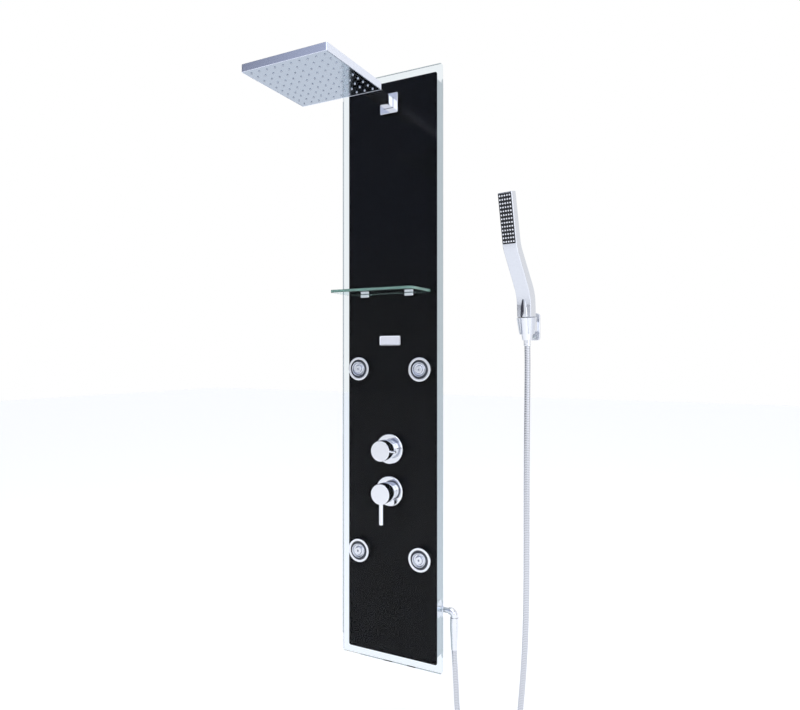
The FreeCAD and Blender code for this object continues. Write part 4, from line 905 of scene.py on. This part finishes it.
class SHOWER_OT_hose(bpy.types.Operator):
    """Model the hose as wound strip along one smooth line"""

    bl_idname = "shower.hose"
    bl_label = "Hose"

    AROUND = 18
    # one turn of the strip, as heights from its seam to its ridge
    WINDING = (0.0, 1.0, 1.0, 0.75)
    RIDGE = mm(0.16)

    def execute(self, context):
        sizes = context.scene.shower_sizes
        line = self.line()
        hose = self.wound_tube(line, sizes.hose_diameter / 2, sizes.hose_pitch)
        hose.data.materials.append(MATERIALS["hose"])
        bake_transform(hose)
        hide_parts("shower_hose")
        return {"FINISHED"}

    def line(self):
        """Points along the route's NURBS curve."""
        route = bpy.data.curves.new("hose_route", "CURVE")
        route.dimensions = "3D"
        route.resolution_u = 24
        spline = route.splines.new("NURBS")
        points = HOSE_DOWN + HOSE_LOOP + HOSE_UP
        spline.points.add(len(points) - 1)
        for place, point in zip(points, spline.points):
            point.co = (*place, 1.0)
        spline.order_u = 3
        spline.use_endpoint_u = True
        carrier = bpy.data.objects.new("hose_route", route)
        bpy.context.scene.collection.objects.link(carrier)
        mesh = bpy.data.meshes.new_from_object(carrier)
        line = [v.co.copy() for v in mesh.vertices]
        bpy.data.objects.remove(carrier)
        bpy.data.meshes.remove(mesh)
        return line

    def wound_tube(self, line, radius, pitch):
        """Rings along the line, ridge and seam by turns, closed at both ends."""
        mesh = bpy.data.meshes.new("wound_hose")
        build = bmesh.new()
        ridge = build.verts.layers.float.new("ridge")
        across = Vector((0, 1, 0))
        rings = []
        for i, (place, along) in enumerate(self.spaced(line, pitch / len(self.WINDING))):
            across = (across - along * across.dot(along)).normalized()
            side = along.cross(across)
            height = self.WINDING[i % len(self.WINDING)]
            r = radius - self.RIDGE * (1 - height)
            rings.append([])
            for k in range(self.AROUND):
                turn = math.tau * k / self.AROUND
                out = across * math.cos(turn) + side * math.sin(turn)
                vert = build.verts.new(place + out * r)
                # the height also sets the painted shade of the grooves in the hose's material
                vert[ridge] = height
                rings[-1].append(vert)
        for low, high in zip(rings, rings[1:]):
            for k in range(self.AROUND):
                n = (k + 1) % self.AROUND
                build.faces.new((low[k], low[n], high[n], high[k]))
        build.faces.new(rings[0][::-1])
        build.faces.new(rings[-1])
        bmesh.ops.recalc_face_normals(build, faces=build.faces)
        build.to_mesh(mesh)
        build.free()
        mesh.shade_smooth()
        hose = bpy.data.objects.new("wound_hose", mesh)
        bpy.context.scene.collection.objects.link(hose)
        return hose

    def spaced(self, line, step):
        """Places and directions a step apart along a line."""
        made, due, gone = [], 0.0, 0.0
        for a, b in zip(line, line[1:]):
            run = (b - a).length
            if run < 1e-9:
                continue
            along = (b - a) / run
            while due <= gone + run:
                made.append((a + along * (due - gone), along))
                due += step
            gone += run
        made.append((line[-1].copy(), (line[-1] - line[-2]).normalized()))
        return made


# ---- hand shower and holder
HAND_TURN = math.radians(-15)
CUP_TILT = math.radians(5)
CUP_RIM = middle("holder_plate") + Vector((0, 0, mm(16.5)))
CUP_RIM.y = -mm(58)


def in_cup(height, spin=0.0, local=None, spot=(0, 0, 0)):
    """Place and turn of a piece that stands in the tilted cup, at a height in mm from its rim."""
    tilt, turn = Matrix.Rotation(CUP_TILT, 3, "X"), Matrix.Rotation(spin, 3, "Z")
    place = CUP_RIM + tilt @ (Vector((0, 0, mm(height))) + turn @ Vector(spot))
    return place, (tilt @ turn @ (local or Matrix.Identity(3))).to_euler()


class SHOWER_OT_hand_shower(bpy.types.Operator):
    """Model the hand shower: cone nut, ferrule, bent flat handle and its spray pad"""

    bl_idname = "shower.hand_shower"
    bl_label = "Hand Shower"

    # middle line of the handle's side view: forward, height and thickness, in millimetres
    SPINE = ((0, 0, 20), (0, 45, 20), (45.6, 137.5, 17), (59, 240, 15))
    # radius that rounds each corner of the side view, up the front and down the back
    ROUNDED = (0, 80, 60, 0, 0, 60, 80, 0)
    WIDTH = mm(32)
    FOOT = 0.4
    PAD, PROUD = (29, 95, 3), 0.6
    COLUMNS, ROWS = 5, 13

    def execute(self, context):
        cone = [(7.5, 0), (9.4, 0), (9.8, 0.6), (16.4, 43.4), (16.6, 45), (9.6, 45), (9.6, 25)]
        cone.append((7.5, 25))
        nut = turned("cone_nut", cone, *in_cup(-44.9), closed=True, soften=mm(0.3))
        chromed(nut, "handset_nut", "handset")
        crimp = [
            (0, 0), (6.6, 0), (7.2, 0.8), (7.2, 4), (6.9, 4.4), (6.9, 5.2), (7.2, 5.6), (7.2, 30),
            (0, 30),
        ]
        ferrule = turned("hose_ferrule", crimp, *in_cup(-56.9), soften=mm(0.15))
        chromed(ferrule, "handset_ferrule", "hose_end")
        self.handle()
        self.boss()
        self.pad()
        return {"FINISHED"}

    def edges(self):
        """Front and back corners of the handle's side view."""
        spine = [Vector(mark[:2]) for mark in self.SPINE]
        runs = [math.atan2(*(b - a)) for a, b in zip(spine, spine[1:])]
        leans = [runs[0]] + [(a + b) / 2 for a, b in zip(runs, runs[1:])] + [runs[-1]]
        front, back = [], []
        for point, lean, (_, _, thick) in zip(spine, leans, self.SPINE):
            out = Vector((math.cos(lean), -math.sin(lean))) * thick / 2
            front.append(point + out)
            back.append(point - out)
        return front, back

    def fillet(self, a, b, c, radius, steps=8):
        """Points on the arc that rounds corner b of a, b, c."""
        back, ahead = (a - b).normalized(), (c - b).normalized()
        half = back.angle(ahead) / 2
        reach = radius / math.tan(half)
        centre = b + (back + ahead).normalized() * (radius / math.sin(half))
        start, end = b + back * reach - centre, b + ahead * reach - centre
        sweep = start.angle_signed(end)
        return [centre + Matrix.Rotation(-sweep * i / steps, 2) @ start for i in range(steps + 1)]

    def handle(self):
        """The side view is drawn as a line, filled, and pulled out to the handle's width."""
        front, back = self.edges()
        corners = front + back[::-1]
        points = []
        for i, radius in enumerate(self.ROUNDED):
            if radius:
                points += self.fillet(corners[i - 1], corners[i], corners[i + 1], radius)
            else:
                points.append(corners[i])
        piece = drawn([Vector((-self.WIDTH / 2, -mm(p.x), mm(p.y))) for p in points])
        bpy.ops.mesh.edge_face_add()
        pull(self.WIDTH, 0, 0)
        bpy.ops.mesh.select_all(action="SELECT")
        bpy.ops.mesh.normals_make_consistent(inside=False)
        settle(piece, "flat_handle", *in_cup(self.FOOT, HAND_TURN), mm(1.8), 4)
        hand_over(piece, "plated", "handset", "chrome_plastic", "handset_body")

    def boss(self):
        """Pointed boss at the foot of the handle's front, a flattened ogive."""
        ogive = [(8, 0), (7.7, 9), (6.9, 18), (5.4, 27), (3.2, 34.5), (1.2, 38.6), (0, 39.6)]
        piece = turned("handle_boss", [(0, 0)] + ogive, soften=mm(0.4), steps=48)
        edit_all()
        bpy.ops.transform.resize(value=(1, 0.28, 1), center_override=(0, 0, 0))
        spot = (0, -mm(9.9), 0)
        settle(piece, "handle_boss", *in_cup(self.FOOT + 0.8, HAND_TURN, spot=spot))
        hand_over(piece, "chrome", "handset", "chrome_plastic")

    def pad(self):
        """Black pad on the front of the handle's upper part, with rows of white nozzles."""
        low, high = self.edges()[0][2:]
        up = (high - low).normalized()
        out = Vector((up.y, -up.x))
        wide, tall, thick = self.PAD
        centre = high - up * (2 + tall / 2)
        facing = Matrix(((1, 0, 0), (0, -up.x, up.y), (0, -out.x, out.y))).transposed()

        def on_face(proud):
            spot = centre + out * proud
            return in_cup(self.FOOT, HAND_TURN, facing, (0, -mm(spot.x), mm(spot.y)))

        piece = slab((mm(wide), mm(tall), mm(thick)), mm(1.2), 4)
        settle(piece, "spray_pad", *on_face(self.PROUD - thick), mm(0.3))
        hand_over(piece, "rubber", "handset", "black_rubber", "handset_spray_face")
        profile = [(0, 1), (1.25, 0.95), (1.6, 0.5), (1.7, -0.2), (0, -0.2)]
        tip = turned("spray_tips", profile, soften=0, steps=10)
        pitches = mm(wide) / (self.COLUMNS + 0.2), mm(tall) / (self.ROWS + 0.2)
        settle(tip, "spray_tips", repeat(tip, pitches, (self.COLUMNS, self.ROWS)))
        settle(tip, "spray_tips", *on_face(self.PROUD))
        hand_over(tip, "white", "handset", "black_rubber")


class SHOWER_OT_wall_holder(bpy.types.Operator):
    """Model the slotted cone cup and its wall plate"""

    bl_idname = "shower.wall_holder"
    bl_label = "Wall Holder"

    def execute(self, context):
        self.cup()
        self.plate()
        return {"FINISHED"}

    def cup(self):
        """Cone cup with its slot sawn out, and the bridge to the wall plate."""
        slot = mm(7.5)
        inside = slot - mm(0.05)
        cup = turned("cone_cup", [(11.9, 0), (15, 0), (20, 33), (17.0, 33)], closed=True, soften=0)
        bpy.ops.object.mode_set(mode="EDIT")
        for x in (-slot, slot):
            bpy.ops.mesh.select_all(action="SELECT")
            bpy.ops.mesh.bisect(plane_co=(x, 0, 0), plane_no=(1, 0, 0))

        def in_slot(face):
            spot = face.calc_center_median()
            return abs(spot.x) < inside and spot.y < 0

        pick("FACE", in_slot)
        bpy.ops.mesh.delete(type="FACE")
        for x in (-slot, slot):

            def on_cut(vert):
                return abs(vert.co.x - x) < mm(0.02) and vert.co.y < 0

            pick("EDGE", lambda edge: all(on_cut(vert) for vert in edge.verts))
            bpy.ops.mesh.edge_face_add()
        close_up()
        settle(cup, "cone_cup", *in_cup(-33), mm(0.5))
        hand_over(cup, "plated", "column", "chrome_plastic", "holder_cup")
        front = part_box("holder_plate")[0].y
        long = front - (CUP_RIM.y + mm(16.8))
        bridge = slab((mm(18), long, mm(22)), 0)
        place = (CUP_RIM.x, front - long / 2, CUP_RIM.z - mm(27.5))
        settle(bridge, "cup_bridge", place, UPRIGHT, mm(2.5), 5)
        hand_over(bridge, "plated", "column", "chrome_plastic")

    def plate(self):
        at, size = rear("holder_plate")
        piece = slab(size.xzy, mm(6), 8)
        settle(piece, "holder_wall_plate", at, OUT, mm(1.2), 4)
        hand_over(piece, "plated", "column", "chrome_plastic", "holder_plate")
        head = [(0, 6.4), (1.2, 6.4), (1.4, 7.0), (3.4, 6.6), (3.8, 6.0), (0, 6.0)]
        for name, z in (("lower_plate_screw", -mm(21)), ("upper_plate_screw", mm(21))):
            screw = turned(name, head, at + Vector((0, 0, z)), OUT, soften=0, steps=24)
            hand_over(screw, "stainless", "column", "steel")


# ---- stage
def grey(value):
    return (value, value, value, 1)


class SHOWER_OT_stage(bpy.types.Operator):
    """Set the pale floor, the soft studio light and the camera"""

    bl_idname = "shower.stage"
    bl_label = "Stage"

    # tones from straight down at 0 to straight up at 1
    WALLS = (
        (0.0, (0.70, 0.72, 0.76, 1)), (0.42, (0.88, 0.90, 0.95, 1)), (0.52, (0.80, 0.82, 0.87, 1)),
        (0.6, (0.56, 0.61, 0.78, 1)), (0.78, (0.56, 0.61, 0.78, 1)), (0.9, (0.78, 0.80, 0.86, 1)),
        (1.0, (0.84, 0.87, 0.92, 1)),
    )
    # where the flag covers the walls, by bearing: 0 and 1 are both in front of the glass
    COVER = ((0, 0), (0.1, 0), (0.118, 1), (0.26, 1), (0.31, 0), (1, 0))
    FLAG = (0.07, 0.07, 0.09, 1)

    def execute(self, context):
        self.floor()
        self.room(context)
        self.softbox("front_softbox", (1.9, -3.0, 1.0), (0, 0, -0.1), 2.4, 20)
        self.softbox("top_softbox", (0.6, -1.2, 2.6), (0, 0, 0), 2.4, 24)
        self.softbox("right_softbox", (3.0, -1.0, 0.6), (0.1, 0, 0), 1.6, 12)
        self.camera(context)
        context.scene.view_settings.view_transform = "Standard"
        return {"FINISHED"}

    def floor(self):
        clear_selection()
        bpy.ops.mesh.primitive_plane_add(size=24, location=(0, 0, -0.86))
        floor = bpy.context.object
        floor.name = "pale_floor"
        # Matt studio paper, with a faint light of its own that keeps it pale.
        paper = material(
            "pale_floor", rough=(0.8, 0.95), haze=(0.4, 3.0), Base_Color=colour("floor"),
            Emission_Color=grey(1), Emission_Strength=0.31,
        )
        floor.data.materials.append(paper)

    def room(self, context):
        """A white room, blue-grey high up behind the camera, with a dark flag to the left."""
        world = bpy.data.worlds.new("studio")
        world.use_nodes = True
        tree = world.node_tree
        tree.nodes.clear()

        place = add_node(tree, "ShaderNodeTexCoord").node.outputs["Generated"]
        x, y, z = add_node(tree, "ShaderNodeSeparateXYZ", Vector=place).node.outputs
        height = add_node(tree, "ShaderNodeMapRange", {"From Min": -1, "From Max": 1}, Value=z)
        walls = add_node(tree, "ShaderNodeValToRGB", {"stops": self.WALLS}, Fac=height)
        bearing = add_node(tree, "ShaderNodeMath", {"operation": "ARCTAN2"}, Value=x)
        tree.links.new(y, bearing.node.inputs[1])
        circle = {"From Min": -math.pi, "From Max": math.pi}
        bearing = add_node(tree, "ShaderNodeMapRange", circle, Value=bearing)
        stops = {"stops": [(position, grey(tone)) for position, tone in self.COVER]}
        covered = add_node(tree, "ShaderNodeValToRGB", stops, Fac=bearing)
        behind = add_node(tree, "ShaderNodeMapRange", {"From Min": 0.05, "From Max": 0.4}, Value=y)
        # the flag goes over the walls, and white over both behind the glass
        factor, colour_a, colour_b, result = 0, 6, 7, 2  # the mix's sockets share their names
        room = walls
        for share, over in ((covered, self.FLAG), (behind, grey(1))):
            mix = add_node(tree, "ShaderNodeMix", {"data_type": "RGBA"}).node
            tree.links.new(share, mix.inputs[factor])
            tree.links.new(room, mix.inputs[colour_a])
            mix.inputs[colour_b].default_value = over
            room = mix.outputs[result]
        light = add_node(tree, "ShaderNodeBackground", {"Strength": 1.0}, Color=room)
        add_node(tree, "ShaderNodeOutputWorld", Surface=light)
        context.scene.world = world

    def softbox(self, name, at, aim, width, watts):
        bpy.ops.object.light_add(type="AREA", location=at)
        lamp = bpy.context.object
        lamp.name = name
        lamp.data.shape = "RECTANGLE"
        lamp.data.size, lamp.data.size_y = width, 2.4
        lamp.data.energy = watts
        lamp.rotation_euler = (Vector(aim) - Vector(at)).to_track_quat("-Z", "Y").to_euler()

    def camera(self, context):
        turn = (QUARTER, 0, math.radians(27.9))
        bpy.ops.object.camera_add(location=(0.695, -1.324, 0.029), rotation=turn)
        camera = bpy.context.object
        camera.name = "photo_camera"
        camera.data.sensor_width = 36
        camera.data.lens = 29.39
        camera.data.clip_end = 60
        context.scene.camera = camera


# ---- add-on
STEPS = (
    SHOWER_OT_glass_and_frame, SHOWER_OT_badge_and_shelf, SHOWER_OT_arm, SHOWER_OT_rain_head,
    SHOWER_OT_body_jets, SHOWER_OT_diverter, SHOWER_OT_mixer, SHOWER_OT_waterways,
    SHOWER_OT_side_outlet, SHOWER_OT_wall_holder, SHOWER_OT_hand_shower, SHOWER_OT_hose,
    SHOWER_OT_stage,
)


class SHOWER_PT_panel(bpy.types.Panel):
    """Sizes, colours and pieces of the shower panel"""

    bl_idname = "SHOWER_PT_panel"
    bl_label = "Shower Panel"
    bl_space_type = "VIEW_3D"
    bl_region_type = "UI"
    bl_category = "Shower Panel"

    def draw(self, context):
        for group in (context.scene.shower_sizes, context.scene.shower_colours):
            box = self.layout.box()
            for key in group.__annotations__:
                box.prop(group, key)
        for step in STEPS:
            self.layout.operator(step.bl_idname)


CLASSES = (ShowerPanelSizes, ShowerPanelColours, *STEPS, SHOWER_PT_panel)


def register():
    for cls in CLASSES:
        bpy.utils.register_class(cls)
    bpy.types.Scene.shower_sizes = bpy.props.PointerProperty(type=ShowerPanelSizes)
    bpy.types.Scene.shower_colours = bpy.props.PointerProperty(type=ShowerPanelColours)


def unregister():
    del bpy.types.Scene.shower_colours
    del bpy.types.Scene.shower_sizes
    for cls in reversed(CLASSES):
        bpy.utils.unregister_class(cls)


def main():
    register()
    make_materials()
    bpy.ops.shower.glass_and_frame()
    bpy.ops.shower.badge_and_shelf()
    bpy.ops.shower.arm()
    bpy.ops.shower.rain_head()
    bpy.ops.shower.body_jets()
    bpy.ops.shower.diverter()
    bpy.ops.shower.mixer()
    bpy.ops.shower.waterways()
    bpy.ops.shower.side_outlet()
    bpy.ops.shower.wall_holder()
    bpy.ops.shower.hand_shower()
    bpy.ops.shower.hose()
    bpy.ops.shower.stage()


if __name__ == "__main__":
    main()
